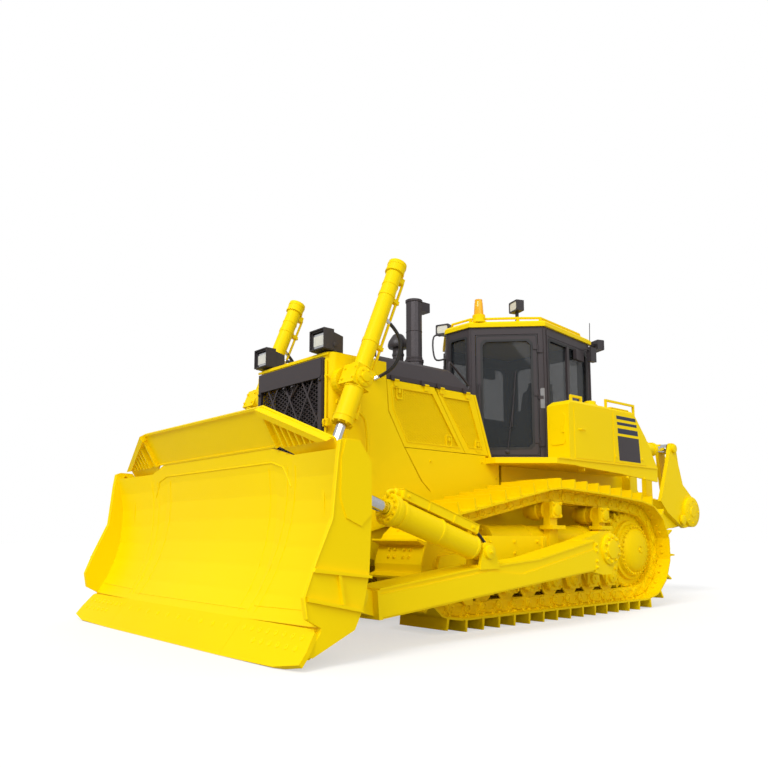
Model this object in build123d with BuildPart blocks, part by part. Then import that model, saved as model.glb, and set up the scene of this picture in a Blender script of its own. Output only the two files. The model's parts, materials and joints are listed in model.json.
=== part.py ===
"""Crawler dozer with a wide semi-straight blade and a single-shank ripper.

Millimetres. Origin on the ground under the middle of the machine.
The machine faces -Y, +X is its left-hand side, +Z is up.
Side profiles are lists of (y, z) points, extruded along X.
"""

import os
from math import asin, atan2, cos, degrees, hypot, pi, radians, sin

from build123d import *

os.makedirs("parts", exist_ok=True)

# ---------------------------------------------------------------- driving sizes
GAUGE = 2140  # between the track centre lines
TRACK_X = GAUGE / 2

SHOE_WIDTH = 610
SHOE_COUNT = 41
SHOE_THICK = 20
GROUSER_HEIGHT = 100
GROUSER_THICK = 26
PIN_TO_SHOE = 67  # pin line to the underside of the shoe plate
RAIL_DEPTH = 58  # pin line to the running face of the links
RAIL_X = 95  # link rail centre from the track centre
RAIL_WIDTH = 60
PIN_LINE = PIN_TO_SHOE + SHOE_THICK + GROUSER_HEIGHT  # height of the bottom pin line

SPROCKET_Y = 1367
SPROCKET_R = 496
SPROCKET_Z = PIN_LINE + SPROCKET_R
SPROCKET_TEETH = 27
SPROCKET_WIDTH = 90
IDLER_Y = -1908
IDLER_R = 388
IDLER_Z = PIN_LINE + IDLER_R
IDLER_TREAD_R = 310
IDLER_WIDTH = 240
CARRIER_Y = (-342, 568)
CARRIER_PIN_Z = (1287, 1245)
CARRIER_R = 84
CARRIER_DROP = 16  # room under the rail where it bends over the roller
ROLLER_R = 118
ROLLER_COUNT = 7
ROLLER_FIRST_Y = -1380
ROLLER_PITCH = 358
ROLLER_LENGTH = 250
SEAT = 0.3  # gap between pieces that rest on each other
# flats on round pieces that only roll or stand; pins, bores and cylinders are truly round
SMALL_SIDES = 8
ROLLER_SIDES = 14
LARGE_SIDES = 24
ARM_PIN_R = 50  # push arm to blade
TRUNNION_R = 95  # push arm to track frame
EYE_PIN_R = 40  # pins of the cylinder eyes
RIPPER_PIN_R = 50

FRAME_IN = 900  # inner face of the track frame
FRAME_OUT = 1240
FRAME_LOW = 560
FRAME_TOP = 800
RECOIL_R = 162

HULL_HALF = 560
HULL_TOP = 1300
HULL_FRONT = -2140
HULL_REAR = 2250
BODY_HALF = 620  # outer face of guard, hood and side covers
PANEL = 35  # thickness of covers and doors
GAP = 6  # shut line between doors and covers

GUARD_FRONT = -2810
GUARD_TOP = 2568
GUARD_WALL = 60
GUARD_LOW = 900

DECK_TOP = 1710
DECK_THICK = 64
DECK_FRONT = -640
DECK_HALF = 1200
DECK_REAR = 2031

# blade linkage: trunnion, blade pivot, lift and tilt cylinder pins (y, z)
TRUNNION = (218, 715)
ARM_PIVOT = (-3450, 430)
ARM_IN = 1520
ARM_OUT = 1820
LIFT_X = 857
LIFT_TOP = (-2662, 2287)
LIFT_PIN = (-3242, 880)
TILT_X = 1750
TILT_BASE = (-2020, 725)
TILT_PIN = (-3412, 1170)

# ripper linkage
ARM_BASE = (2560, 1000)
BEAM_PIVOT = (3640, 1080)
TOWER_PIN = (3470, 2120)
TILT_ANCHOR = (TOWER_PIN[0] - BEAM_PIVOT[0] + ARM_BASE[0], TOWER_PIN[1] - BEAM_PIVOT[1] + ARM_BASE[1])
RIP_X = 560  # ripper arm and tilt cylinder centre
RIP_LIFT_X = 300
RIP_LIFT_TOP = (2470, 1900)
RIP_LIFT_PIN = (3350, 1090)

# cab plan corners (x, y), left half
CAB_FRONT = (190, -391)
CAB_SIDE = (820, 218)
CAB_REAR = (670, 1378)
CAB_TOP = 3330
CAB_WALL = 60


# ---------------------------------------------------------------- small helpers
def write(piece, name):
    piece.part.label = name
    export_step(piece.part, f"parts/{name}.step")


def side_plate(points, x_low, x_high, mode=Mode.ADD):
    """Extrude a closed (y, z) profile between two X planes."""
    with BuildSketch(Plane.YZ.offset(x_low)) as profile:
        with BuildLine():
            Polyline(*points, close=True)
        make_face()
    extrude(profile.sketch, amount=x_high - x_low, mode=mode)


def round_section(radius, sides=0):
    """Circle, or a polygon with its corners on the circle."""
    if sides:
        RegularPolygon(radius, sides, rotation=180 / sides)
    else:
        Circle(radius)


def bar_x(centre, radius, x_low, x_high, mode=Mode.ADD, sides=0):
    """Round bar or bore along X at (y, z)."""
    with BuildSketch(Plane.YZ.offset(x_low)) as profile:
        with Locations(centre):
            round_section(radius, sides)
    extrude(profile.sketch, amount=x_high - x_low, mode=mode)


def post(centre, radius, z_low, z_high, sides=ROLLER_SIDES):
    """Upright round bar at (x, y)."""
    with BuildSketch(Plane.XY.offset(z_low)) as profile:
        with Locations(centre):
            round_section(radius, sides)
    extrude(profile.sketch, amount=z_high - z_low)


def near(point, dy, dz):
    """Point at an offset from another, both (y, z)."""
    return (point[0] + dy, point[1] + dz)


def block(x, y, z, mode=Mode.ADD):
    """Box between pairs of limits."""
    with Locations(((x[0] + x[1]) / 2, (y[0] + y[1]) / 2, (z[0] + z[1]) / 2)):
        Box(x[1] - x[0], y[1] - y[0], z[1] - z[0], mode=mode)


def along(start, end, distance):
    """Point at a distance from start towards end, in (y, z)."""
    span = hypot(end[0] - start[0], end[1] - start[1])
    return tuple(a + (b - a) * distance / span for a, b in zip(start, end))


def cylinder_plane(x, base, tip):
    """Plane at a pin, with its normal along the cylinder from base to tip."""
    direction = (0, tip[0] - base[0], tip[1] - base[1])
    return Plane(origin=(x, *base), x_dir=(1, 0, 0), z_dir=direction)


def length(base, tip):
    return hypot(tip[0] - base[0], tip[1] - base[1])


# ---------------------------------------------------------------- track chain path
def tangent_angle(centre, radius, point, side):
    """Angle of the point where a line from a point touches a circle."""
    dy, dz = point[0] - centre[0], point[1] - centre[1]
    return atan2(dz, dy) + side * (pi / 2 - asin(radius / hypot(dy, dz)))


def chain_path():
    """Pin line as (start, end) lines and (centre, radius, from, to) arcs, rear end first."""
    sprocket = (SPROCKET_Y, SPROCKET_Z)
    idler = (IDLER_Y, IDLER_Z)
    front = (CARRIER_Y[0], CARRIER_PIN_Z[0])
    rear = (CARRIER_Y[1], CARRIER_PIN_Z[1])
    leave = tangent_angle(sprocket, SPROCKET_R, rear, -1)
    meet = tangent_angle(idler, IDLER_R, front, 1)
    on_sprocket = (SPROCKET_Y + SPROCKET_R * cos(leave), SPROCKET_Z + SPROCKET_R * sin(leave))
    on_idler = (IDLER_Y + IDLER_R * cos(meet), IDLER_Z + IDLER_R * sin(meet))
    return [
        ("line", (IDLER_Y, PIN_LINE), (SPROCKET_Y, PIN_LINE)),
        ("arc", sprocket, SPROCKET_R, -pi / 2, leave),
        ("line", on_sprocket, rear),
        ("line", rear, front),
        ("line", front, on_idler),
        ("arc", idler, IDLER_R, meet, 3 * pi / 2),
    ]


def chain_pins():
    """Pin centres, evenly spaced round the path, anticlockwise seen from +X."""
    path = chain_path()
    spans = []
    for step in path:
        if step[0] == "line":
            spans.append(hypot(step[2][0] - step[1][0], step[2][1] - step[1][1]))
        else:
            spans.append(step[2] * (step[4] - step[3]))
    pitch = sum(spans) / SHOE_COUNT
    pins = []
    for index in range(SHOE_COUNT):
        rest = pitch * (index + 0.3)
        for step, span in zip(path, spans):
            if rest <= span:
                break
            rest -= span
        if step[0] == "line":
            share = rest / span
            pins.append(tuple(a + (b - a) * share for a, b in zip(step[1], step[2])))
        else:
            angle = step[3] + rest / step[2]
            pins.append((step[1][0] + step[2] * cos(angle), step[1][1] + step[2] * sin(angle)))
    return pins, pitch


PINS, CHAIN_PITCH = chain_pins()


def link_frames():
    """Middle, direction and outward normal of each link's chord, with half its length."""
    frames = []
    for index, pin in enumerate(PINS):
        ahead = PINS[(index + 1) % SHOE_COUNT]
        dy, dz = ahead[0] - pin[0], ahead[1] - pin[1]
        chord = hypot(dy, dz)
        t = (dy / chord, dz / chord)
        frames.append(((pin[0] + dy / 2, pin[1] + dz / 2), t, (t[1], -t[0]), chord / 2))
    return frames


def offset_loop(height):
    """Chord loop shifted outward by a height, one corner at each pin."""
    frames = link_frames()
    corners = []
    for index, pin in enumerate(PINS):
        before, after = frames[index - 1][2], frames[index][2]
        ny, nz = before[0] + after[0], before[1] + after[1]
        scale = 2 * height / (ny * ny + nz * nz)
        corners.append((pin[0] + ny * scale, pin[1] + nz * scale))
    return corners


def shoe_loop():
    """Outer outline: for each shoe its plate, lip and single grouser."""
    plate = PIN_TO_SHOE + SHOE_THICK
    tip = plate + GROUSER_HEIGHT
    root = -0.36 * CHAIN_PITCH  # grouser stands near the leading edge
    outline = []
    for middle, t, n, half in link_frames():
        steps = (
            (-half + 3, plate - 7),
            (root - GROUSER_THICK / 2, plate),
            (root - GROUSER_THICK / 2 + 4, tip),
            (root + GROUSER_THICK / 2 - 4, tip),
            (root + GROUSER_THICK / 2 + 6, plate),
            (half - 3, plate),
        )
        outline += [(middle[0] + t[0] * a + n[0] * h, middle[1] + t[1] * a + n[1] * h) for a, h in steps]
    return outline


def make_track():
    with BuildPart() as track:
        low = TRACK_X - SHOE_WIDTH / 2
        side_plate(shoe_loop(), low, low + SHOE_WIDTH)
        side_plate(offset_loop(PIN_TO_SHOE), low, low + SHOE_WIDTH, mode=Mode.SUBTRACT)
        for x in (TRACK_X - RAIL_X, TRACK_X + RAIL_X):
            with BuildSketch(Plane.YZ.offset(x - RAIL_WIDTH / 2)):
                with BuildLine():
                    Polyline(*offset_loop(PIN_TO_SHOE), close=True)
                make_face()
                with BuildLine():
                    Polyline(*offset_loop(-RAIL_DEPTH), close=True)
                make_face(mode=Mode.SUBTRACT)
            extrude(amount=RAIL_WIDTH)
    return track


track_left = make_track()
write(track_left, "track_left")
with BuildPart() as track_right:
    mirror(track_left.part, about=Plane.YZ)
write(track_right, "track_right")

# ---------------------------------------------------------------- track frames
CARRIER_Z = [z - RAIL_DEPTH - CARRIER_R - CARRIER_DROP for z in CARRIER_PIN_Z]
POST_IN = TRACK_X + RAIL_X + RAIL_WIDTH / 2 + 10
POST_OUT = POST_IN + 85

with BuildPart() as track_frames:
    frame_rear = SPROCKET_Y - SPROCKET_R - 20
    frame_front = IDLER_Y + IDLER_R + 20
    block((FRAME_IN, FRAME_OUT), (frame_front, frame_rear), (FRAME_LOW, FRAME_TOP))
    with BuildSketch(Plane.XZ.offset(-frame_rear)):
        with Locations((TRACK_X, FRAME_TOP)):
            round_section(RECOIL_R, ROLLER_SIDES)
    extrude(amount=frame_rear - frame_front - 260)
    # yoke plates beside the idler
    for x_low, x_high in ((FRAME_IN, FRAME_IN + 40), (FRAME_OUT - 40, FRAME_OUT)):
        side_plate(
            [
                (frame_front + 200, FRAME_LOW),
                (frame_front + 200, FRAME_TOP - 60),
                (IDLER_Y - 90, IDLER_Z + 95),
                (IDLER_Y - 130, IDLER_Z),
                (IDLER_Y - 90, IDLER_Z - 95),
                (frame_front - 65, IDLER_Z - 120),
                (frame_front - 60, FRAME_LOW),
            ],
            x_low,
            x_high,
        )
    # lower guide plate in front of the first roller
    side_plate(
        [
            (-1700, 470),
            (-1760, 300),
            (-1660, 215),
            (-1566, 215),
            (-1566, FRAME_LOW + 10),
            (-1640, FRAME_LOW + 10),
        ],
        FRAME_OUT - 25,
        FRAME_OUT,
    )
    # posts of the carrier rollers
    for y, z in zip(CARRIER_Y, CARRIER_Z):
        side_plate(
            [
                (y - 78, FRAME_TOP - 60),
                (y + 78, FRAME_TOP - 60),
                (y + 52, z + 30),
                (y + 62, z + 80),
                (y - 62, z + 80),
                (y - 52, z + 30),
            ],
            POST_IN,
            POST_OUT,
        )
    # cover beside the recoil housing
    side_plate([(-1560, 860), (-1360, 625), (-540, 610), (-540, 855)], FRAME_OUT - 10, FRAME_OUT + 100)
    # bearing block and shaft of the push arm trunnion
    side_plate(
        [
            (TRUNNION[0] - 230, FRAME_LOW + 10),
            (TRUNNION[0] + 230, FRAME_LOW + 10),
            near(TRUNNION, 150, 130),
            near(TRUNNION, -150, 130),
        ],
        FRAME_OUT - 10,
        FRAME_OUT + 110,
    )
    bar_x(TRUNNION, TRUNNION_R, FRAME_OUT, 1565)
    mirror(about=Plane.YZ)
write(track_frames, "track_frames")

with BuildPart() as idlers:
    tread = (TRACK_X - IDLER_WIDTH / 2, TRACK_X + IDLER_WIDTH / 2)
    bar_x((IDLER_Y, IDLER_Z), IDLER_TREAD_R, *tread, sides=LARGE_SIDES)
    bar_x((IDLER_Y, IDLER_Z), 95, FRAME_IN + 40 + SEAT, FRAME_OUT - 40 - SEAT, sides=ROLLER_SIDES)
    mirror(about=Plane.YZ)
write(idlers, "idlers")

ROLLER_Z = PIN_LINE + RAIL_DEPTH + ROLLER_R + SEAT
with BuildPart() as track_rollers:
    for index in range(ROLLER_COUNT):
        centre = (ROLLER_FIRST_Y + index * ROLLER_PITCH, ROLLER_Z)
        bar_x(centre, ROLLER_R, TRACK_X - ROLLER_LENGTH / 2, TRACK_X + ROLLER_LENGTH / 2,
              sides=ROLLER_SIDES)
    mirror(about=Plane.YZ)
write(track_rollers, "track_rollers")

BOGIE_GAP = 8
with BuildPart() as roller_bogies:
    for index in range(ROLLER_COUNT):
        y = ROLLER_FIRST_Y + index * ROLLER_PITCH
        for x_low, x_high in (
            (TRACK_X - ROLLER_LENGTH / 2 - SEAT - 45, TRACK_X - ROLLER_LENGTH / 2 - SEAT),
            (TRACK_X + ROLLER_LENGTH / 2 + SEAT, TRACK_X + ROLLER_LENGTH / 2 + SEAT + 45),
        ):
            half = ROLLER_PITCH / 2 - BOGIE_GAP
            side_plate(
                [
                    (y - half, FRAME_LOW - SEAT),
                    (y - half, ROLLER_Z + 90),
                    (y - 85, ROLLER_Z - 70),
                    (y + 85, ROLLER_Z - 70),
                    (y + half, ROLLER_Z + 90),
                    (y + half, FRAME_LOW - SEAT),
                ],
                x_low,
                x_high,
            )
    mirror(about=Plane.YZ)
write(roller_bogies, "roller_bogies")

with BuildPart() as carrier_rollers:
    for y, z in zip(CARRIER_Y, CARRIER_Z):
        bar_x((y, z), CARRIER_R, TRACK_X - 120, TRACK_X + 125, sides=ROLLER_SIDES)
        bar_x((y, z), 42, TRACK_X + 120, POST_IN, sides=SMALL_SIDES)
    mirror(about=Plane.YZ)
write(carrier_rollers, "carrier_rollers")


def tooth_loop():
    """Sprocket outline: straight-flanked teeth at half the chain pitch."""
    tip, root = SPROCKET_R + 12, SPROCKET_R - 42
    step = 2 * pi / SPROCKET_TEETH
    outline = []
    for index in range(SPROCKET_TEETH):
        for share, radius in ((-0.33, root), (-0.12, tip), (0.12, tip), (0.33, root)):
            angle = step * (index + share)
            outline.append((SPROCKET_Y + radius * cos(angle), SPROCKET_Z + radius * sin(angle)))
    return outline


SPROCKET_IN = TRACK_X - SPROCKET_WIDTH / 2
SPROCKET_OUT = TRACK_X + SPROCKET_WIDTH / 2
with BuildPart() as sprockets:
    side_plate(tooth_loop(), SPROCKET_IN, SPROCKET_OUT)
    mirror(about=Plane.YZ)
write(sprockets, "sprockets")

FINAL_DRIVE_STEPS = (  # x from, x to, radius
    (HULL_HALF, HULL_HALF + 120, 360),
    (HULL_HALF + 120, SPROCKET_IN, 300),
    (SPROCKET_OUT, SPROCKET_OUT + 55, 345),
    (SPROCKET_OUT + 55, SPROCKET_OUT + 105, 270),
    (SPROCKET_OUT + 105, SPROCKET_OUT + 145, 190),
    (SPROCKET_OUT + 145, SPROCKET_OUT + 160, 70),
)
with BuildPart() as final_drives:
    for x_low, x_high, radius in FINAL_DRIVE_STEPS:
        bar_x((SPROCKET_Y, SPROCKET_Z), radius, x_low, x_high, sides=LARGE_SIDES)
    mirror(about=Plane.YZ)
write(final_drives, "final_drives")

# ---------------------------------------------------------------- hull and engine
with BuildPart() as main_frame:
    side_plate(
        [
            (HULL_FRONT, HULL_TOP),
            (HULL_FRONT - 500, 1000),
            (HULL_FRONT - 500, 760),
            (HULL_FRONT + 150, 560),
            (HULL_REAR - 500, 500),
            (HULL_REAR, 640),
            (HULL_REAR, DECK_TOP - DECK_THICK),
            (-300, DECK_TOP - DECK_THICK),
            (-300, HULL_TOP),
        ],
        -HULL_HALF,
        HULL_HALF,
    )
    # pivot shaft and equaliser bar that carry the track frames
    bar_x((650, 700), 120, -FRAME_IN, FRAME_IN, sides=ROLLER_SIDES)
    block((-FRAME_IN, FRAME_IN), (-1180, -1020), (640, 780))
write(main_frame, "main_frame")

ENGINE_Y = (-2080, -860)
with BuildPart() as engine_block:
    block((-380, 380), ENGINE_Y, (HULL_TOP, 2240))
write(engine_block, "engine_block")

# ---------------------------------------------------------------- radiator guard and grille
HOOD_FRONT = -2105
HOOD_LOW = 2405
GUARD_CORNER_Y = -1500  # lower rear corner, where the side cover starts
GUARD_EDGE = [
    (HOOD_FRONT - SEAT, GUARD_TOP),
    (HOOD_FRONT - SEAT, HOOD_LOW),
    (-2080, 2080),
    (-1877, 1750),
    (-1635, 1408),
    (GUARD_CORNER_Y, HULL_TOP),
]
BOSS_WIDTH = 80  # lift cylinder bearing on the guard's side
with BuildPart() as radiator_guard:
    side_plate(
        [(GUARD_FRONT, GUARD_LOW), (GUARD_FRONT, GUARD_TOP)] + GUARD_EDGE + [(GUARD_CORNER_Y, 1100),
                                                                             (-2300, GUARD_LOW)],
        -BODY_HALF,
        BODY_HALF,
    )
    fillet(radiator_guard.edges().filter_by(Axis.Z).sort_by(Axis.Y)[:2], 90)
    inner = BODY_HALF - GUARD_WALL
    block((-inner, inner), (GUARD_FRONT + 70, -1400), (GUARD_LOW - 10, GUARD_TOP - GUARD_WALL),
          Mode.SUBTRACT)
    block((-530, 530), (GUARD_FRONT - 10, GUARD_FRONT + 80), (1080, 2480), Mode.SUBTRACT)
    for x in (-BODY_HALF - BOSS_WIDTH, BODY_HALF):
        bar_x(LIFT_TOP, 130, x, x + BOSS_WIDTH, sides=LARGE_SIDES)
write(radiator_guard, "radiator_guard")

GRILLE_HALF = 556
MESH_BARS = 3
MESH_PITCH = 300
MESH_LEAN = 32
with BuildPart() as grille:
    block((-GRILLE_HALF, GRILLE_HALF), (GUARD_FRONT - 32, GUARD_FRONT), (1040, 2514))
    block((-GRILLE_HALF + 45, GRILLE_HALF - 45), (GUARD_FRONT - 40, GUARD_FRONT + 10), (1090, 2325),
          Mode.SUBTRACT)
    # expanded mesh: flat bars that cross at a slant, kept inside the frame
    with BuildSketch(Plane.XZ.offset(-GUARD_FRONT + 12)) as mesh:
        for lean in (-1, 1):
            for index in range(-MESH_BARS, MESH_BARS + 1):
                with Locations(Location((index * MESH_PITCH, 1707, 0), (0, 0, lean * MESH_LEAN))):
                    Rectangle(18, 2600)
        with Locations((0, 1707)):
            Rectangle(2 * GRILLE_HALF - 80, 1240, mode=Mode.INTERSECT)
    extrude(mesh.sketch, amount=8)
write(grille, "grille")

with BuildPart() as radiator_core:
    block((-inner + SEAT, inner - SEAT), (-2620, -2420), (1145, 2440))
write(radiator_core, "radiator_core")

# ---------------------------------------------------------------- hood, covers and cowl
HOOD_TOP = 2655
HOOD_REAR = -808
SHOULDER = 500
# lift-off hinges of the engine doors, on a line along the hood's lower edge
HINGE_X = BODY_HALF + 14
HINGE_Z = HOOD_LOW - GAP / 2
HINGE_R = 11
HINGE_HALF = 30  # half length of the door's knuckle
KNUCKLE = 40  # length of the fixed knuckle in front of it
HINGE_LEAF = 60
FRONT_HINGES = (-1980, -1560)
REAR_HINGES = (-1330, -930)


def hinge_bar(y_low, y_high, sides=0):
    """Knuckle on the line of the engine door hinges."""
    with BuildSketch(Plane.XZ.offset(-y_low)) as profile:
        with Locations((HINGE_X, HINGE_Z)):
            round_section(HINGE_R, sides)
    extrude(profile.sketch, amount=y_low - y_high)


with BuildPart() as hood:
    with BuildSketch(Plane.XZ.offset(-HOOD_FRONT)):
        with BuildLine():
            Polyline((-BODY_HALF, HOOD_LOW), (-BODY_HALF, HOOD_LOW + 45), (-SHOULDER - 30, HOOD_TOP - 30),
                     (-SHOULDER, HOOD_TOP), (SHOULDER, HOOD_TOP), (SHOULDER + 30, HOOD_TOP - 30),
                     (BODY_HALF, HOOD_LOW + 45), (BODY_HALF, HOOD_LOW), close=True)
        make_face()
        with BuildLine():
            Polyline((-BODY_HALF + PANEL, HOOD_LOW - 1), (-BODY_HALF + PANEL, HOOD_LOW + 35),
                     (-SHOULDER, HOOD_TOP - PANEL), (SHOULDER, HOOD_TOP - PANEL),
                     (BODY_HALF - PANEL, HOOD_LOW + 35), (BODY_HALF - PANEL, HOOD_LOW - 1), close=True)
        make_face(mode=Mode.SUBTRACT)
    extrude(amount=-(HOOD_REAR - HOOD_FRONT))
    side_plate([(-1109, HOOD_TOP + 5), (HOOD_REAR, HOOD_LOW - 46), (HOOD_REAR + 40, HOOD_LOW - 46),
                (HOOD_REAR + 40, HOOD_TOP + 5)], -700, 700, mode=Mode.SUBTRACT)
    side_plate([(-1109, HOOD_TOP), (HOOD_REAR, HOOD_LOW - 46), (HOOD_REAR, HOOD_LOW - 90),
                (-1145, HOOD_TOP - 20)],
               -SHOULDER, SHOULDER)
    for y in FRONT_HINGES + REAR_HINGES:
        leaf = (y - HINGE_HALF - SEAT - KNUCKLE, y - HINGE_HALF - SEAT)
        block((BODY_HALF - PANEL / 2, HINGE_X), leaf, (HINGE_Z + GAP / 2, HINGE_Z + 45))
        hinge_bar(*leaf, sides=SMALL_SIDES)
    split(bisect_by=Plane.YZ, keep=Keep.TOP)
    mirror(about=Plane.YZ)
write(hood, "hood")

DOOR_TOP = HOOD_LOW - GAP
DOOR_LOW = 1740
FRONT_DOOR = [(-2098, DOOR_TOP), (-2070, 2084), (-1860, DOOR_LOW), (-974, DOOR_LOW), (-1435, DOOR_TOP)]
# the rear door's upper front corner is cut back, so that it swings clear of the front door
REAR_DOOR = [(-1397, DOOR_TOP), (-1354, DOOR_TOP - 100), (-966, DOOR_LOW), (-594, DOOR_LOW),
             (-826, DOOR_TOP)]
MESH_INSET = 55
with BuildPart() as side_covers:
    under_deck = DECK_TOP - DECK_THICK - SEAT
    side_plate([(-1854, DOOR_LOW - GAP), (-1618, 1408), (GUARD_CORNER_Y + SEAT, HULL_TOP + 14),
                (GUARD_CORNER_Y + SEAT, 1110), (-415, 1110), (-415, under_deck),
                (DECK_FRONT - SEAT, under_deck),
                (DECK_FRONT - SEAT, DOOR_LOW - GAP)], BODY_HALF - PANEL, BODY_HALF)
    mirror(about=Plane.YZ)
write(side_covers, "side_covers")


def make_engine_door(outline, mesh_outline, hinges, name):
    with BuildPart() as left:
        side_plate(outline, BODY_HALF - PANEL, BODY_HALF)
        side_plate(mesh_outline, BODY_HALF - 12, BODY_HALF + 1, mode=Mode.SUBTRACT)
        for y in hinges:
            leaf = (y - HINGE_HALF, y + HINGE_HALF)
            block((BODY_HALF, HINGE_X), leaf, (HINGE_Z - HINGE_LEAF, HINGE_Z))
            hinge_bar(*leaf)
    write(left, f"{name}_left")
    with BuildPart() as right:
        mirror(left.part, about=Plane.YZ)
    write(right, f"{name}_right")


make_engine_door(
    FRONT_DOOR,
    [(-2030, DOOR_TOP - 70), (-2005, 2110), (-1820, DOOR_LOW + 60), (-1075, DOOR_LOW + 60),
     (-1465, DOOR_TOP - 70)],
    FRONT_HINGES,
    "engine_door_front",
)
make_engine_door(
    REAR_DOOR,
    [(-1310, DOOR_TOP - 80), (-915, DOOR_LOW + 70), (-700, DOOR_LOW + 70), (-905, DOOR_TOP - 80)],
    REAR_HINGES,
    "engine_door_rear",
)

with BuildPart() as cowl:
    side_plate([(-690, DECK_TOP), (-800, 2300), (-765, 2300), (-545, DECK_TOP)], -BODY_HALF + 40,
               BODY_HALF - 40)
    # frame strips behind the rear engine doors
    for x in (-BODY_HALF, BODY_HALF - 45):
        side_plate([(-819, DOOR_TOP), (-787, DOOR_TOP), (-534, DECK_TOP), (-576, DECK_TOP)], x, x + 45)
write(cowl, "cowl")

# ---------------------------------------------------------------- deck, tanks
with BuildPart() as deck:
    with BuildSketch(Plane.XY.offset(DECK_TOP - DECK_THICK)):
        with BuildLine():
            Polyline((760, DECK_FRONT), (DECK_HALF, -126), (DECK_HALF, DECK_REAR), (-DECK_HALF, DECK_REAR),
                     (-DECK_HALF, -126), (-760, DECK_FRONT), close=True)
        make_face()
    extrude(amount=DECK_THICK)
    for x in (-DECK_HALF, DECK_HALF - 25):
        side_plate([(-100, DECK_TOP - 30), (DECK_REAR, DECK_TOP - 30), (DECK_REAR, 1535), (1100, 1600),
                    (300, DECK_TOP - DECK_THICK - 10)], x, x + 25)
write(deck, "deck")

TANK_IN = 905
TANK_TOP = 2391
with BuildPart() as fender_tanks:
    side_plate([(120, DECK_TOP), (120, 2335), (200, TANK_TOP), (1481, TANK_TOP), (1774, 2082),
                (DECK_REAR, DECK_TOP + 10), (DECK_REAR, DECK_TOP)], TANK_IN, DECK_HALF)
    chamfer(fender_tanks.edges().filter_by(Axis.Y).sort_by(Axis.Z)[-2:], 30)
    mirror(about=Plane.YZ)
write(fender_tanks, "fender_tanks")

FUEL_HALF = 830
with BuildPart() as fuel_tank:
    side_plate([(1460, DECK_TOP), (1460, 2250), (1520, 2310), (1700, 2310), (2000, DECK_TOP)],
               -FUEL_HALF, FUEL_HALF)
write(fuel_tank, "fuel_tank")

# ---------------------------------------------------------------- cab
DOOR_LINE = Vector(CAB_SIDE[0] - CAB_FRONT[0], CAB_SIDE[1] - CAB_FRONT[1], 0)
DOOR_SPAN = DOOR_LINE.length
DOOR_DIR = DOOR_LINE.normalized()
DOOR_OUT = Vector(DOOR_DIR.Y, -DOOR_DIR.X, 0)
DOOR_START = 62
DOOR_END = 800
DOOR_BASE = 1780
DOOR_HEAD = 3240
DOOR_THICK = 45

SIDE_LINE = Vector(CAB_REAR[0] - CAB_SIDE[0], CAB_REAR[1] - CAB_SIDE[1], 0)
SIDE_SPAN = SIDE_LINE.length
SIDE_DIR = SIDE_LINE.normalized()
SIDE_OUT = Vector(SIDE_DIR.Y, -SIDE_DIR.X, 0)


def wall_plane(corner, direction, out):
    """Sketch plane on an outer cab wall: x along the wall, y up, normal outward."""
    return Plane(origin=(*corner, 0), x_dir=direction, z_dir=out)


DOOR_PLANE = wall_plane(CAB_FRONT, DOOR_DIR, DOOR_OUT)
SIDE_PLANE = wall_plane(CAB_SIDE, SIDE_DIR, SIDE_OUT)


def wall_panel(plane, s, z, depth, start=0.0, corner=0.0, mode=Mode.ADD):
    """Panel on a cab wall between limits, from start inward by depth, with its corners cut."""
    with BuildSketch(plane.offset(-start)) as profile:
        with Locations(((s[0] + s[1]) / 2, (z[0] + z[1]) / 2)):
            Rectangle(s[1] - s[0], z[1] - z[0])
        if corner:
            chamfer(profile.vertices(), corner)
    extrude(profile.sketch, amount=-depth, mode=mode)


def cab_outline(grow=0.0):
    left = [CAB_FRONT, CAB_SIDE, CAB_REAR]
    points = left + [(-x, y) for x, y in reversed(left)]
    with BuildLine() as outline:
        Polyline(*points, close=True)
    make_face(outline.edges())
    if grow:
        offset(amount=grow, kind=Kind.INTERSECTION)


# lift-off hinges of the cab doors, on a line up the door wall's rear end
CAB_HINGE_S = DOOR_END - GAP / 2
CAB_HINGE_OUT = 12
CAB_HINGE_R = 10
CAB_HINGE_Z = (1960, 2520, 3080)
CAB_LEAF = 55


def hinge_post(z_low, z_high, sides=0):
    """Knuckle on the hinge line of the left cab door."""
    x = CAB_FRONT[0] + DOOR_DIR.X * CAB_HINGE_S + DOOR_OUT.X * CAB_HINGE_OUT
    y = CAB_FRONT[1] + DOOR_DIR.Y * CAB_HINGE_S + DOOR_OUT.Y * CAB_HINGE_OUT
    post((x, y), CAB_HINGE_R, z_low, z_high, sides)


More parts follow.
